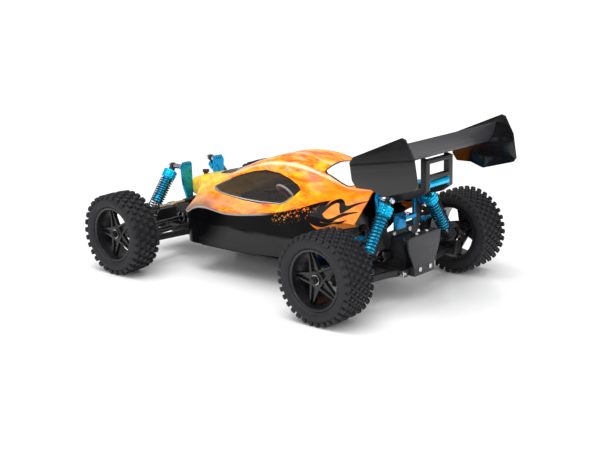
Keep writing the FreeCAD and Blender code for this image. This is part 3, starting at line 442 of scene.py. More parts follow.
MATERIAL = {
    "rubber": grained("tyre_rubber", (0.008, 0.008, 0.0095), (0.019, 0.019, 0.022), 0.6,
                      scale=1400, bump=0.3, specular=0.3),
    "rim": grained("rim_nylon", (0.006, 0.006, 0.007), (0.012, 0.012, 0.014), 0.27,
                   scale=800, bump=0.08, specular=0.42),
    "nylon": grained("black_nylon", (0.008, 0.008, 0.009), (0.018, 0.018, 0.02), 0.4, specular=0.38),
    "nut": grained("black_nut", (0.01, 0.01, 0.011), (0.03, 0.03, 0.032), 0.3,
                   metal=0.6, scale=1500, bump=0.1),
    "panel": grained("grey_panel", (0.022, 0.022, 0.025), (0.034, 0.035, 0.038), 0.42,
                     scale=1200, bump=0.2, specular=0.4),
    "gloss": wing_sheet("gloss_black", (0.0025, 0.0025, 0.003), (0.006, 0.006, 0.007), 0.12),
    "blade": wing_sheet("wing_blade", (0.018, 0.018, 0.021), (0.03, 0.03, 0.034), 0.35),
    "blue": grained("blue_anodised", (0.0, 0.2, 0.5), (0.0, 0.34, 0.68), 0.25,
                    metal=0.7, scale=1500, bump=0.06),
    "cyan": grained("cyan_anodised", (0.0, 0.42, 0.76), (0.0, 0.58, 0.9), 0.22,
                    metal=0.7, scale=1500, bump=0.06),
    "steel": brushed("turned_steel", (0.45, 0.45, 0.46), (0.75, 0.75, 0.76), 0.22, (1, 6, 1)),
    "shaft": brushed("dark_steel", (0.07, 0.07, 0.075), (0.16, 0.16, 0.17), 0.3, (1, 6, 1)),
    "wire": brushed("spring_wire", (0.015, 0.02, 0.03), (0.05, 0.06, 0.08), 0.3, (3, 3, 3)),
    "alloy": brushed("dark_alloy", (0.02, 0.02, 0.022), (0.045, 0.045, 0.05), 0.4, (0.2, 6, 6)),
    "can": brushed("motor_can", (0.35, 0.35, 0.37), (0.55, 0.55, 0.57), 0.3, (6, 1, 1)),
    "wrap": grained("battery_wrap", (0.02, 0.05, 0.25), (0.03, 0.08, 0.34), 0.25, scale=300, bump=0.1),
    "paint": flame_paint(),
    "window": clear_sheet("smoked_window", (0.035, 0.03, 0.028), 0.27),
    "rear_window": clear_sheet("clear_window", (0.9, 0.91, 0.93), 0.62),
    "trim": grained("window_trim", (0.003, 0.003, 0.004), (0.008, 0.008, 0.009), 0.15, scale=300, bump=0.05),
    "edge": grained("window_edge", (0.3, 0.3, 0.31), (0.5, 0.5, 0.5), 0.25, scale=300, bump=0.05),
    "red_wire": grained("red_wire", (0.5, 0.02, 0.015), (0.65, 0.03, 0.02), 0.35, scale=600, bump=0.1),
    "white_wire": grained("white_wire", (0.75, 0.74, 0.7), (0.9, 0.89, 0.86), 0.4, scale=600, bump=0.1),
}


# ---------------------------------------------------------------- mesh helpers

SHARP_ANGLE = 35.0


def turn_to(axis):
    return Vector((0, 0, 1)).rotation_difference(Vector(axis)).to_matrix()


def new_object(name, bm, materials, angle):
    mesh = bpy.data.meshes.new(name)
    bmesh.ops.recalc_face_normals(bm, faces=bm.faces)
    bm.to_mesh(mesh)
    bm.free()
    for key in materials:
        mesh.materials.append(MATERIAL[key])
    mesh.shade_smooth()
    mesh.set_sharp_from_angle(angle=math.radians(angle))
    mesh.validate()
    mesh.update()
    return show(bpy.data.objects.new(name, mesh))


def piece(name, bm, materials, node, angle=SHARP_ANGLE):
    # takes the place of one CAD node and rides on that node's body
    obj = new_object(name, bm, materials, angle)
    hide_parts(node)
    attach(obj, BODY_OF[node])


def join_rings(bm, pairs, segments, material):
    # quads between two rings of points, triangles where one of them is a pole
    for a, b in pairs:
        for k in range(segments):
            corners = (a[k % len(a)], a[(k + 1) % len(a)], b[(k + 1) % len(b)], b[k % len(b)])
            unique = list(dict.fromkeys(corners))
            if len(unique) > 2:
                bm.faces.new(unique).material_index = material


def lathe(bm, profile, origin, axis, segments=48, material=0, closed=True, depth_at=None):
    # profile is (distance along the axis, radius) in millimetres; a radius of 0 makes a pole
    turn = turn_to(axis)
    rings = []
    for distance, radius in profile:
        ring = []
        for k in range(segments if radius else 1):
            angle = 2 * math.pi * k / segments
            depth = depth_at(radius, angle) if depth_at else 0.0
            r = (radius - depth) * MM
            local = Vector((r * math.cos(angle), r * math.sin(angle), distance * MM))
            ring.append(bm.verts.new(Vector(origin) + turn @ local))
        rings.append(ring)
    pairs = list(zip(rings, rings[1:]))
    if closed:
        pairs.append((rings[-1], rings[0]))
    join_rings(bm, pairs, segments, material)


def solid_lathe(bm, profile, origin, axis, segments=48, material=0, depth_at=None):
    ends = [(profile[0][0], 0.0), *profile, (profile[-1][0], 0.0)]
    lathe(bm, ends, origin, axis, segments, material, False, depth_at)


def round_edges(bm, edges, offset, clamp=True):
    bmesh.ops.bevel(
        bm, geom=edges, offset=offset, segments=2, profile=0.6, affect="EDGES", clamp_overlap=clamp
    )


def block(bm, start, end, bevel, material=0):
    # a bar between two loops of points, with rounded edges
    a = [bm.verts.new(p) for p in start]
    b = [bm.verts.new(p) for p in end]
    count = len(a)
    faces = [bm.faces.new(a), bm.faces.new(list(reversed(b)))]
    for k in range(count):
        faces.append(bm.faces.new([a[k], b[k], b[(k + 1) % count], a[(k + 1) % count]]))
    for face in faces:
        face.material_index = material
    round_edges(bm, list(dict.fromkeys(edge for face in faces for edge in face.edges)), bevel)


def prism(bm, outline, move, bevel, material=0):
    block(bm, outline, [Vector(p) + Vector(move) for p in outline], bevel, material)


def tube(bm, points, radius, material=0, segments=8):
    # a round rod along a line of points, its ring turned as little as possible from point to point
    rings = []
    count = len(points)
    side = None
    for k, point in enumerate(points):
        ahead = Vector(points[min(k + 1, count - 1)]) - Vector(points[max(k - 1, 0)])
        ahead.normalize()
        if side is None:
            side = ahead.orthogonal().normalized()
        side = (side - ahead * side.dot(ahead)).normalized()
        other = ahead.cross(side)
        ring = []
        for j in range(segments):
            angle = 2 * math.pi * j / segments
            way = math.cos(angle) * side + math.sin(angle) * other
            ring.append(bm.verts.new(Vector(point) + radius * way))
        rings.append(ring)
    for a, b in zip(rings, rings[1:]):
        for j in range(segments):
            corners = [a[j], a[(j + 1) % segments], b[(j + 1) % segments], b[j]]
            bm.faces.new(corners).material_index = material
    bm.faces.new(list(reversed(rings[0]))).material_index = material
    bm.faces.new(rings[-1]).material_index = material


MERGE_DISTANCE = 0.01 * MM
FLAT_ANGLE = 0.6
BEVELLED_ANGLE = 38


def refined(node, materials, bevel, region=None, extra=None):
    # the CAD node's own shape with its sharp edges rounded; region picks a material for each face
    bm = bmesh.new()
    bm.from_mesh(NODES[node].data)
    bmesh.ops.remove_doubles(bm, verts=bm.verts, dist=MERGE_DISTANCE)
    bmesh.ops.dissolve_limit(bm, angle_limit=math.radians(FLAT_ANGLE), verts=bm.verts, edges=bm.edges)
    limit = math.radians(BEVELLED_ANGLE)
    sharp = [e for e in bm.edges if len(e.link_faces) == 2 and e.calc_face_angle(0) > limit]
    round_edges(bm, sharp, bevel * MM)
    bmesh.ops.triangulate(bm, faces=[f for f in bm.faces if len(f.verts) > 4])
    for face in bm.faces:
        face.material_index = region(face.calc_center_median() / MM) if region else 0
    if extra:
        extra(bm)
    piece(node + "_detailed", bm, materials, node)


# ---------------------------------------------------------------- wheels

# lug is a tread block's length and width
WHEEL = {
    "front": {"width": 31.6, "hub_out": 8.0, "rows": 5, "count": 30, "lug": (4.3, 5.2), "height": 2.9},
    "rear": {"width": 38.3, "hub_out": 13.0, "rows": 7, "count": 34, "lug": (3.1, 3.6), "height": 3.1},
}
BEAD_R = 28.8
RIM_IN = 2.6  # the rim is this much narrower than the tyre on each side
EDGE_ROW_IN = 2.3
EDGE_LUG = (1.12, 0.8)  # edge row blocks against the others
LUG_FOOT = 1.12
LUG_HEAD = 0.86
LUG_SUNK = 0.0006
LUG_EDGE = 0.00032
LUG_CLEAR = 0.00002  # the tread's top stays this far inside the tyre's radius
CROWN = 0.55  # how much lower the tread is at its sides, in millimetres
SIDE_LUG_HALF = 0.0022
SIDE_LUG_EDGE = 0.0003
SPOKES = 5
SPOKE_FALL = 2.2
RIB_SPAN = (6.2, 26.2)
WEB_SPAN = (6.0, 26.0)
RIB_EDGE = 0.0004
WEB_EDGE = 0.0002
# loops of (offset across the spoke, depth from the hub's or rim's face)
RIB_START = ((5.9, -0.5), (3.3, -0.5), (3.0, -4.2), (6.2, -4.2))
RIB_END = ((1.9, 0.4), (0.5, 0.4), (0.4, -3.4), (2.2, -3.4))
WEB_START = ((-3.6, -2.6), (3.6, -2.6), (3.6, -4.4), (-3.6, -4.4))
WEB_END = ((-1.0, -2.0), (1.0, -2.0), (1.0, -3.6), (-1.0, -3.6))


def wheel_axis(end, side_name, side):
    joint = JOINTS[f"{end}_{side_name}_wheel_spin"]
    return Vector(joint["pos_m"]), Vector((0, side, 0))


def tyre_profile(half, radius, height):
    # outer line from the inner bead over the tread to the outer bead, then back inside
    base = radius - height
    outer = [(-half + 2.6, BEAD_R), (-half + 1.6, 29.4), (-half + 1.0, 30.6), (-half + 0.5, 31.2),
             (-half + 0.25, 33.2), (-half + 0.15, 35.4), (-half + 0.6, 37.4), (-half + 1.8, base - 0.9),
             (-half + 3.6, base - 0.2)]
    inner = [(half - 5.0, BEAD_R), (half - 2.8, 33.0), (half - 4.0, base - 2.4)]
    outer = outer + [(0.0, base + 0.25)] + [(-a, r) for a, r in reversed(outer)]
    return outer + inner + [(-a, r) for a, r in reversed(inner)]


def spin_frame(k, count, row):
    # directions out from the axle and along the tread for block k; every other row is half a block on
    angle = 2 * math.pi * (k + (0.5 if row % 2 else 0.0)) / count
    return Vector((math.cos(angle), 0, math.sin(angle))), Vector((-math.sin(angle), 0, math.cos(angle)))


def lug(bm, centre, out, along, across, size, height):
    # one tread block: wider at its foot, top edges rounded
    long, wide = size
    bottom = []
    top = []
    for u, v in ((-1, -1), (1, -1), (1, 1), (-1, 1)):
        u *= long / 2
        v *= wide / 2
        foot = centre + along * (u * LUG_FOOT) + across * (v * LUG_FOOT) - out * LUG_SUNK
        head = centre + along * (u * LUG_HEAD) + across * (v * LUG_HEAD) + out * height
        bottom.append(bm.verts.new(foot))
        top.append(bm.verts.new(head))
    bm.faces.new(list(reversed(bottom)))
    cap = bm.faces.new(top)
    for k in range(4):
        bm.faces.new([bottom[k], bottom[(k + 1) % 4], top[(k + 1) % 4], top[k]])
    round_edges(bm, list(cap.edges), LUG_EDGE, clamp=False)


def tyre(end, side_name, side):
    spec = WHEEL[end]
    centre, axis = wheel_axis(end, side_name, side)
    half = spec["width"] / 2
    radius = centre.z / MM
    height = spec["height"]
    bm = bmesh.new()
    lathe(bm, tyre_profile(half, radius, height), centre, axis, segments=96)
    count = spec["count"]
    rows = spec["rows"]
    shoulder = half - EDGE_ROW_IN
    for row in range(rows):
        place = -shoulder + 2 * shoulder * row / (rows - 1)
        edge_row = row in (0, rows - 1)
        drop = CROWN * (abs(place) / half) ** 2
        size = [side_size * MM for side_size in spec["lug"]]
        if edge_row:
            size = [a * b for a, b in zip(size, EDGE_LUG)]
        for k in range(count):
            out, along = spin_frame(k, count, row)
            point = centre + axis * (place * MM) + out * ((radius - height - drop * 0.5) * MM)
            lug(bm, point, out, along, axis, size, (height - drop * 0.5) * MM - LUG_CLEAR)
        if edge_row:
            outward = axis * (1 if place > 0 else -1)
            for k in range(count):
                side_lug(bm, centre, outward, *spin_frame(k, count, row), half, radius)
    piece(f"{end}_tyre_{side_name}_tread", bm, ["rubber"], f"{end}_tyre_{side_name}")


def side_lug(bm, centre, axis, out, along, half, radius):
    # a short block that wraps over the shoulder onto the sidewall
    outline = ((half - 3.4, radius - 0.45), (half - 1.1, radius - 0.9), (half - 0.32, radius - 2.6),
               (half - 0.36, radius - 4.6), (half - 2.6, radius - 4.6))
    start = centre - along * SIDE_LUG_HALF
    corners = [start + axis * (offset * MM) + out * (r * MM) for offset, r in outline]
    prism(bm, corners, along * (2 * SIDE_LUG_HALF), SIDE_LUG_EDGE)


def rim(end, side_name, side):
    spec = WHEEL[end]
    centre, axis = wheel_axis(end, side_name, side)
    half = spec["width"] / 2 - RIM_IN
    hub = spec["hub_out"]
    bm = bmesh.new()
    barrel = [(-half, 25.5), (-half, 28.2), (-half + 0.5, 28.45), (-half + 2.0, 28.45), (-half + 2.6, 27.0),
              (half - 2.6, 27.0), (half - 2.0, 28.45), (half - 0.3, 28.45), (half - 0.05, 28.2),
              (half - 0.02, 27.4), (half - 0.5, 26.7), (half - 0.7, 26.1), (half - 1.4, 25.8)]
    lathe(bm, barrel, centre, axis, segments=96)
    for k in range(SPOKES):
        spoke(bm, centre, axis, hub, 2 * math.pi * k / SPOKES)
    collar = [(hub - 7.0, 2.56), (hub - 7.0, 7.2), (hub - 1.6, 8.2), (hub - 0.4, 7.9), (hub - 0.05, 7.2),
              (hub - 0.3, 5.2), (hub - 1.6, 4.9), (hub - 1.8, 2.56)]
    lathe(bm, collar, centre, axis)
    piece(f"{end}_rim_{side_name}_star", bm, ["rim"], f"{end}_rim_{side_name}")


def spoke(bm, centre, axis, hub, angle):
    # two ribs that meet at the rim, joined by a sunken web
    out = Vector((math.cos(angle), 0, math.sin(angle)))
    across = axis.cross(out)
    tip = hub - SPOKE_FALL

    def loop(radius, face, shape, way=1):
        return [centre + out * (radius * MM) + across * (way * offset * MM) + axis * ((face + depth) * MM)
                for offset, depth in shape]

    for way in (-1, 1):
        block(bm, loop(RIB_SPAN[0], hub, RIB_START, way), loop(RIB_SPAN[1], tip, RIB_END, way), RIB_EDGE)
    block(bm, loop(WEB_SPAN[0], hub, WEB_START), loop(WEB_SPAN[1], tip, WEB_END), WEB_EDGE)


# ---------------------------------------------------------------- shock absorbers

# millimetres along the shock from its upper eye
SHOCK_LENGTH = {"front": 68.964, "rear": 77.603}
CYLINDER_SHORT = 24.5
PERCH_SHORT = 13.0
SPRING_TOP = 15.5
THREAD_START = 15.6
THREAD_PITCH = 1.9
FLUTES = 12
FLUTE_DEPTH = 0.32
EYE_R = 3.45
SPRING_WIRE = 0.58
SPRING_R = 6.55
SPRING_TURNS = 14.5
STEPS_PER_TURN = 28
END_LEAD = 0.35  # the first and last turns lie flatter than the rest


def shock(end, side_name):
    corner = f"{end}_{side_name}"
    pivot = Vector(JOINTS[f"{corner}_shock_pivot"]["pos_m"])
    down = -Vector(JOINTS[f"{corner}_shock_stroke"]["axis"])
    length = SHOCK_LENGTH[end]
    body_end = length - CYLINDER_SHORT
    perch = length - PERCH_SHORT
    shock_cylinder(corner, f"{end}_shock_body_{side_name}", pivot, down, body_end)
    shock_shaft(corner, f"{end}_shock_rod_{side_name}", pivot, down, body_end, perch, length)
    spring(corner, f"{end}_spring_{side_name}", pivot, down, SPRING_TOP, perch)


def flute(radius, angle):
    # shallow grip flats round the cap's wide bands
    return FLUTE_DEPTH * max(0.0, math.cos(FLUTES * angle)) if radius > 7.0 else 0.0


def shock_cylinder(corner, node, pivot, down, body_end):
    bm = bmesh.new()
    eye_ring(bm, pivot, 1.62, 2.0)
    neck = [(2.4, 2.5), (3.4, 3.4), (6.2, 3.4), (6.4, 5.0)]
    solid_lathe(bm, neck, pivot, down, 32, 1)
    cap = [(6.1, 4.2), (6.3, 6.6), (6.9, 7.5), (8.6, 7.55), (9.0, 6.9), (9.6, 6.8), (10.0, 7.5), (12.8, 7.55),
           (13.3, 7.0), (13.5, 6.7), (13.8, 7.3), (15.2, 7.35), (15.5, 7.0)]
    solid_lathe(bm, cap, pivot, down, 72, 0, flute)
    thread = [(13.6, 5.35)]
    place = THREAD_START
    while place < body_end - 5.4:
        thread += [(place, 4.75), (place + 0.35, 5.2), (place + 0.9, 5.2), (place + 1.25, 4.75)]
        place += THREAD_PITCH
    thread += [(body_end - 4.6, 4.8), (body_end - 4.2, 5.4), (body_end - 0.7, 5.4), (body_end, 4.8),
               (body_end, 1.6)]
    solid_lathe(bm, thread, pivot, down, 40, 0)
    piece(f"{corner}_shock_cylinder", bm, ["cyan", "nylon"], node)


def eye_ring(bm, centre, bore, half):
    # moulded eye with a hole along X
    line = [(-half, bore), (-half, EYE_R - 0.4), (-half + 0.4, EYE_R), (half - 0.4, EYE_R),
            (half, EYE_R - 0.4), (half, bore)]
    lathe(bm, line, centre, (1, 0, 0), 32, 1)


def shock_shaft(corner, node, pivot, down, body_end, perch, length):
    bm = bmesh.new()
    solid_lathe(bm, [(body_end - 6, 1.46), (perch + 1, 1.46)], pivot, down, 24, 0)
    seat = [(perch - 0.3, 2.4), (perch + 0.1, 5.6), (perch + 0.2, 7.0), (perch + 0.6, 7.35),
            (perch + 1.6, 7.35), (perch + 2.0, 6.8), (perch + 2.4, 3.4), (length - 3.2, 2.6),
            (length - 2.9, 2.2)]
    solid_lathe(bm, seat, pivot, down, 40, 1)
    eye_ring(bm, pivot + down * (length * MM), 2.35, 1.85)
    piece(f"{corner}_shock_shaft", bm, ["steel", "nylon"], node)


def spring(corner, node, pivot, down, start, stop):
    # a closed coil between the cap and the perch
    seat = start + SPRING_WIRE + 0.15
    length = stop - start - 2 * SPRING_WIRE - 0.3
    turn = turn_to(down)
    turns = SPRING_TURNS
    points = []
    steps = int(turns * STEPS_PER_TURN)
    for k in range(steps + 1):
        t = k / steps
        lead = min(1.0, t * turns) * END_LEAD - max(0.0, (t - 1 + 1 / turns) * turns) * END_LEAD
        rise = min(1.0, max(0.0, t + (lead - END_LEAD) * 0.02))
        angle = 2 * math.pi * turns * t
        local = Vector((SPRING_R * math.cos(angle), SPRING_R * math.sin(angle), seat + length * rise))
        points.append(pivot + turn @ (local * MM))
    bm = bmesh.new()
    tube(bm, points, SPRING_WIRE * MM)
    obj = new_object(f"{corner}_coil_spring", bm, ["wire"], 80)
    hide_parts(node)
    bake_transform(obj)


# ---------------------------------------------------------------- body shell

# cross-sections in millimetres: x, (y, z) at the foot, crease, shoulder and roof edge, and the roof's height
SECTIONS = (
    (152.0, (12, 69), (14.4, 74), (13.6, 79), (8, 83), 84.5),
    (140.0, (15, 66), (18, 73), (16, 81.5), (10, 86.5), 88.0),
    (128.0, (22, 60), (25.5, 72), (21, 84), (13, 89), 91.0),
    (112.0, (50, 36), (56, 63), (34, 80), (20, 91), 94.5),
    (103.0, (62, 31), (65, 66), (40, 84), (23, 94), 97.0),
    (75.0, (62, 30.5), (71, 73), (50, 90), (30, 99), 104.5),
    (40.0, (60.5, 30.5), (75, 74), (54, 87), (33, 112), 117.0),
    (5.0, (58, 31), (76, 77), (56, 87), (34, 121), 126.5),
    (-30.0, (56, 33), (76, 83), (57, 92), (34, 121), 127.0),
    (-58.0, (57, 40), (76, 86), (56, 97), (31, 114), 119.5),
    (-85.0, (60, 66), (72, 84), (50, 98), (27, 104.5), 105.5),
    (-116.0, (58, 77.5), (61, 80), (42, 97), (29, 106.5), 103.5),
)
# the sheet's outer and inner faces, measured in from the sections
SHELL_LAYERS = (0.12, 1.0)
ROWS_PER_SECTION = 8
STEPS_OVER_TOP = 8
STEPS_DOWN_POD = 6
# window outlines: (x, z) for the side ones, (x, y) for the others
SIDE_WINDOW = ((76, 90.5), (70, 94.0), (58, 99.5), (44, 104.3), (28, 108.6), (12, 111.2), (-6, 111.4),
               (-22, 108.8), (-34, 105.0), (-40.5, 101.2), (-36, 96.0), (-30, 90.0), (-25, 87.8), (-10, 86.6),
               (5, 85.4), (25, 85.0), (48, 85.6), (66, 87.6))
REAR_WINDOW = ((-54, 25), (-57, 27), (-80, 25), (-83, 22), (-84.5, 0), (-83, -22), (-80, -25), (-57, -27),
               (-54, -25), (-52, 0))
WINDSCREEN = ((99, 14), (96, 18), (66, 25), (61, 23), (58, 0), (61, -23), (66, -25), (96, -18), (99, -14),
              (101, 0))
TRIM_WIDTH = 2.0
EDGE_WIDTH = 0.9
CUT_DISTANCE = 0.000002
SHELL_MATERIALS = ("paint", "window", "trim", "rear_window", "edge")


def between(a, b, c, d, t):
    # point at t between b and c on a smooth curve through all four
    return tuple(
        0.5 * (2 * q + (r - p) * t + (2 * p - 5 * q + 4 * r - s) * t * t + (3 * q - p - 3 * r + s) * t ** 3)
        for p, q, r, s in zip(a, b, c, d)
    )


def resample(points, steps):
    out = []
    last = len(points) - 1
    for k in range(last):
        a = points[max(k - 1, 0)]
        d = points[min(k + 2, last)]
        for j in range(steps):
            out.append(between(a, points[k], points[k + 1], d, j / steps))
    out.append(points[last])
    return out


def shell_surface():
    # rows of points across the car, from nose to tail
    rows = []
    for x, low, crease, shoulder, edge, top in SECTIONS:
        half = [low, crease, shoulder, edge]
        rows.append([(x, y, z) for y, z in half] + [(x, 0.0, top)] + [(x, -y, z) for y, z in reversed(half)])
    columns = [resample(list(column), ROWS_PER_SECTION) for column in zip(*rows)]
    grid = []
    for row in zip(*columns):
        left = resample([row[0], row[1]], STEPS_DOWN_POD)
        right = resample([row[-2], row[-1]], STEPS_DOWN_POD)
        grid.append(left[:-1] + resample(list(row[1:-1]), STEPS_OVER_TOP) + right[1:])
    return grid


def inset(row, amount):
    moved = []
    last = len(row) - 1
    for k, (x, y, z) in enumerate(row):
        before = row[max(k - 1, 0)]
        after = row[min(k + 1, last)]
        dy = after[1] - before[1]
        dz = after[2] - before[2]
        size = math.hypot(dy, dz)
        moved.append((x, y - dz / size * amount, z + dy / size * amount))
    return moved


def cut_outline(bm, outline, plane, choose):
    # split the chosen faces along each side of a closed outline drawn in the plane of two axes
    count = len(outline)
    upright = plane == "xz"
    through = Vector((0, 1, 0)) if upright else Vector((0, 0, 1))
    corners = [Vector((u, 0, v)) if upright else Vector((u, v, 0)) for u, v in outline]
    for k in range(count):
        start = corners[k]
        normal = (corners[(k + 1) % count] - start).cross(through).normalized()
        faces = [f for f in bm.faces if choose(f.calc_center_median())]
        verts = list(dict.fromkeys(v for f in faces for v in f.verts))
        edges = list(dict.fromkeys(e for f in faces for e in f.edges))
        bmesh.ops.bisect_plane(
            bm, geom=verts + edges + faces, plane_co=start * MM, plane_no=normal, dist=CUT_DISTANCE
        )


def inside(outline, u, v):
    hit = False
    count = len(outline)
    for k in range(count):
        (u0, v0), (u1, v1) = outline[k], outline[(k + 1) % count]
        if (v0 > v) != (v1 > v) and u < (u1 - u0) * (v - v0) / (v1 - v0) + u0:
            hit = not hit
    return hit


def grown(outline, amount):
    # the outline moved away from its middle
    cu = sum(u for u, v in outline) / len(outline)
    cv = sum(v for u, v in outline) / len(outline)
    out = []
    for u, v in outline:
        size = math.hypot(u - cu, v - cv)
        out.append((u + (u - cu) / size * amount, v + (v - cv) / size * amount))
    return out


def side_area(c):
    return abs(c.y) > 0.030 and -0.052 < c.x < 0.085 and c.z > 0.080


def top_area(c):
    return abs(c.y) < 0.032 and c.z > 0.09


def window(bm, outline, plane, glass):
    # glass, a dark trim round it and, at the foot of the side windows, a bright edge
    choose = side_area if plane == "xz" else top_area
    trim = grown(outline, TRIM_WIDTH)
    edge = grown(outline, EDGE_WIDTH)
    for line in (trim, edge, grown(outline, 0.0)):
        cut_outline(bm, line, plane, choose)
    slot = SHELL_MATERIALS.index
    for face in bm.faces:
        c = face.calc_center_median()
        if not choose(c):
            continue
        u, v = c.x / MM, (c.z if plane == "xz" else c.y) / MM
        if inside(outline, u, v):
            face.material_index = slot(glass)
        elif face.material_index == 0 and inside(trim, u, v):
            bright = plane == "xz" and inside(edge, u, v) and v < 96.0 + 0.04 * u
            face.material_index = slot("edge") if bright else slot("trim")


def body_shell():
    # two sheets a millimetre apart, closed along their borders
    grid = shell_surface()
    bm = bmesh.new()
    layers = []
    for amount in SHELL_LAYERS:
        layers.append([[bm.verts.new(Vector(p) * MM) for p in inset(row, amount)] for row in grid])
    rows = len(grid)
    columns = len(grid[0])
    for layer in layers:
        for i in range(rows - 1):
            for j in range(columns - 1):
                bm.faces.new([layer[i][j], layer[i + 1][j], layer[i + 1][j + 1], layer[i][j + 1]])
    outer, inner = layers
    for i in range(rows - 1):
        for j in (0, columns - 1):
            bm.faces.new([outer[i][j], outer[i + 1][j], inner[i + 1][j], inner[i][j]])
    for j in range(columns - 1):
        for i in (0, rows - 1):
            bm.faces.new([outer[i][j], outer[i][j + 1], inner[i][j + 1], inner[i][j]])
    window(bm, SIDE_WINDOW, "xz", "window")
    window(bm, REAR_WINDOW, "xy", "rear_window")
    window(bm, WINDSCREEN, "xy", "window")
    piece("flame_body_shell", bm, SHELL_MATERIALS, "body_shell", angle=40)


# ---------------------------------------------------------------- screws, nuts and wires

FIXINGS = 2  # the material slot of screws and nuts
NUT_EDGE = 0.00025
# the speed controller's red and white leads arch up under the side window
WIRE_ARCH = ((4, -6, 63), (2, 16, 80), (-3, 36, 94), (-12, 43, 99), (-22, 44, 97), (-30, 42, 90),
             (-37, 36, 80), (-42, 28, 66))
WIRE_R = 1.1
WIRES = ((0.0, 1), (2.6, 2))  # (shift, material slot)


def screw(bm, centre, axis, radius, height):
    # cap head with a socket
    socket = radius * 0.5
    line = [(0, 0.0), (0, radius - 0.15), (0.2, radius), (height - 0.3, radius), (height, radius - 0.25),
            (height, socket), (height - 1.0, socket * 0.95), (height - 1.0, 0.0)]
    lathe(bm, line, Vector(centre) * MM, axis, 24, FIXINGS, closed=False)


def hex_nut(bm, centre, axis, radius, height):
    turn = turn_to(axis)
    corners = []
    for k in range(6):
        angle = math.pi / 3 * k
        corner = Vector((radius * math.cos(angle), radius * math.sin(angle), 0))
        corners.append((Vector(centre) + turn @ corner) * MM)
    prism(bm, corners, Vector(axis) * (height * MM), NUT_EDGE, FIXINGS)


def wires(bm):
    for shift, material in WIRES:
        path = resample([(x + shift, y + shift * 0.6, z + shift * 0.8) for x, y, z in WIRE_ARCH], 6)
        tube(bm, [Vector(p) * MM for p in path], WIRE_R * MM, material)


# ---------------------------------------------------------------- which material goes where, in millimetres

FRONT_TOWER_X = 145.5
REAR_TOWER_X = -122.5
TOWER_HALF = 1.62
FRONT_AXLE_X = 155.5
REAR_AXLE_X = -119.5
HINGE_PIN_Z = 29.3
LINK_Z = 63.5


def tower_region(c):
    # blue ears and clamp, black middle and legs, bright studs
    front = c.x > 0
    if not front and abs(c.y) < 8.4 and c.z > 63.8:
        return 0
    if abs(c.x - (FRONT_TOWER_X if front else REAR_TOWER_X)) > TOWER_HALF:
        return 2
    ear = c.z > 66 and abs(c.y) > 14 if front else c.z > 84 and abs(c.y) > 21
    return 0 if ear else 1


def tower_extra(bm):
    for way in (-1, 1):
        hex_nut(bm, (-134.5, way * 29.0, 99.0), (-1, 0, 0), 3.0, 2.4)
        hex_nut(bm, (163.5, way * 28.5, 99.0), (1, 0, 0), 3.0, 2.4)
        screw(bm, (-124.0, way * 12.0, 63.0), (-1, 0, 0), 2.2, 1.8)
    screw(bm, (-130.5, 0.0, 80.0), (0, 0, 1), 2.6, 1.9)


def stay_region(c):
    # the cross tube between the uprights is bright
    return 1 if 111 < c.z < 118.8 and abs(c.y) < 15.2 and abs(c.x + 165) < 4.5 else 0


def bumper_region(c):
    # pale panel at the tail; its ledge and the front bumper are black
    return 1 if c.x < -149.4 and 29.2 < c.z < 61.2 else 0


def bumper_extra(bm):
    for y in (-8.0, 8.0):
        screw(bm, (-151.5, y, 31.6), (-1, 0, 0), 2.3, 1.2)
        screw(bm, (-147.5, y, 64.6), (0, 0, 1), 2.2, 1.4)


def wing_region(c):
    # the blade between the end plates is duller
    return 1 if abs(c.y) < 56.0 else 0


def housing_region(c):
    # hinge pins are bright where they stand out of their holders
    pin = abs(c.y) > 17.5 and abs(c.z - HINGE_PIN_Z) < 1.7
    past_front = abs(c.x - FRONT_AXLE_X) > 26.2
    past_rear = c.x < 0 and abs(c.x - REAR_AXLE_X) > 26.2
    return 1 if pin and (past_front or past_rear) else 0


def axle_region(face):
    # a bright flange at the hub's face, a black nut past it
    def choose(c):
        if face + 0.1 < abs(c.y) < face + 1.02:
            return 2
        return 1 if abs(c.y) > face - 0.2 else 0
    return choose


def link_region(middle):
    # the link's rod is bare between its black ends
    def choose(c):
        return 1 if abs(abs(c.y) - middle) < 13 and abs(c.z - LINK_Z) < 2.9 else 0
    return choose


# ---------------------------------------------------------------- parts that keep the CAD shape

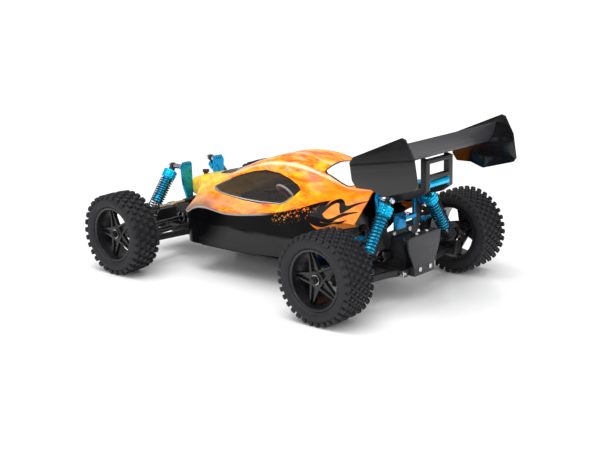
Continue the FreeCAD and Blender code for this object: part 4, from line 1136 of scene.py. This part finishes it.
# node, materials, edge radius in millimetres, then region and extra
CENTRE_PARTS = (
    ("chassis_plate", ["alloy"], 0.4),
    ("gearbox_housings", ["nylon", "steel"], 0.8, housing_region),
    ("bumpers", ["nylon", "panel", "steel"], 0.7, bumper_region, bumper_extra),
    ("wing_stay", ["nylon", "cyan"], 0.8, stay_region),
    ("shock_towers", ["blue", "nylon", "steel"], 0.35, tower_region, tower_extra),
    ("rear_wing", ["gloss", "blade"], 0.4, wing_region),
    ("radio_gear", ["nylon", "red_wire", "white_wire"], 0.8, None, wires),
    ("drag_link", ["nylon"], 0.4),
    ("servo_horn", ["nylon"], 0.4),
    ("front_differential", ["shaft"], 0.3),
    ("rear_differential", ["shaft"], 0.3),
    ("center_drive", ["shaft"], 0.15),
    ("motor_pinion", ["shaft"], 0.15),
    ("motor", ["can"], 0.6),
    ("battery_pack", ["wrap"], 0.5),
)
LINK_MIDDLE = {"front": 52.0, "rear": 49.0}
HUB_FACE = {"front": 117.6, "rear": 119.3}
LINK_ROD = {"front": "steel", "rear": "blue"}


def carried_parts():
    for part in CENTRE_PARTS:
        refined(*part)
    for end in ENDS:
        axle = axle_region(HUB_FACE[end])
        link = link_region(LINK_MIDDLE[end])
        for side_name, side in SIDES:
            refined(f"{end}_lower_arm_{side_name}", ["nylon"], 0.7)
            refined(f"{end}_hub_carrier_{side_name}", ["nylon"], 0.5)
            refined(f"{end}_stub_axle_{side_name}", ["shaft", "nut", "steel"], 0.25, axle)
            refined(f"{end}_drive_shaft_{side_name}", ["shaft"], 0.15)
            refined(f"{end}_upper_link_{side_name}", ["nylon", LINK_ROD[end]], 0.3, link)
    for side_name, side in SIDES:
        refined(f"steering_knuckle_{side_name}", ["nylon"], 0.4)
        refined(f"tie_rod_{side_name}", ["nylon"], 0.3)


def main():
    camera()
    studio()
    for end in ENDS:
        for side_name, side in SIDES:
            tyre(end, side_name, side)
            rim(end, side_name, side)
            shock(end, side_name)
    body_shell()
    carried_parts()


main()
bpy.context.view_layer.update()
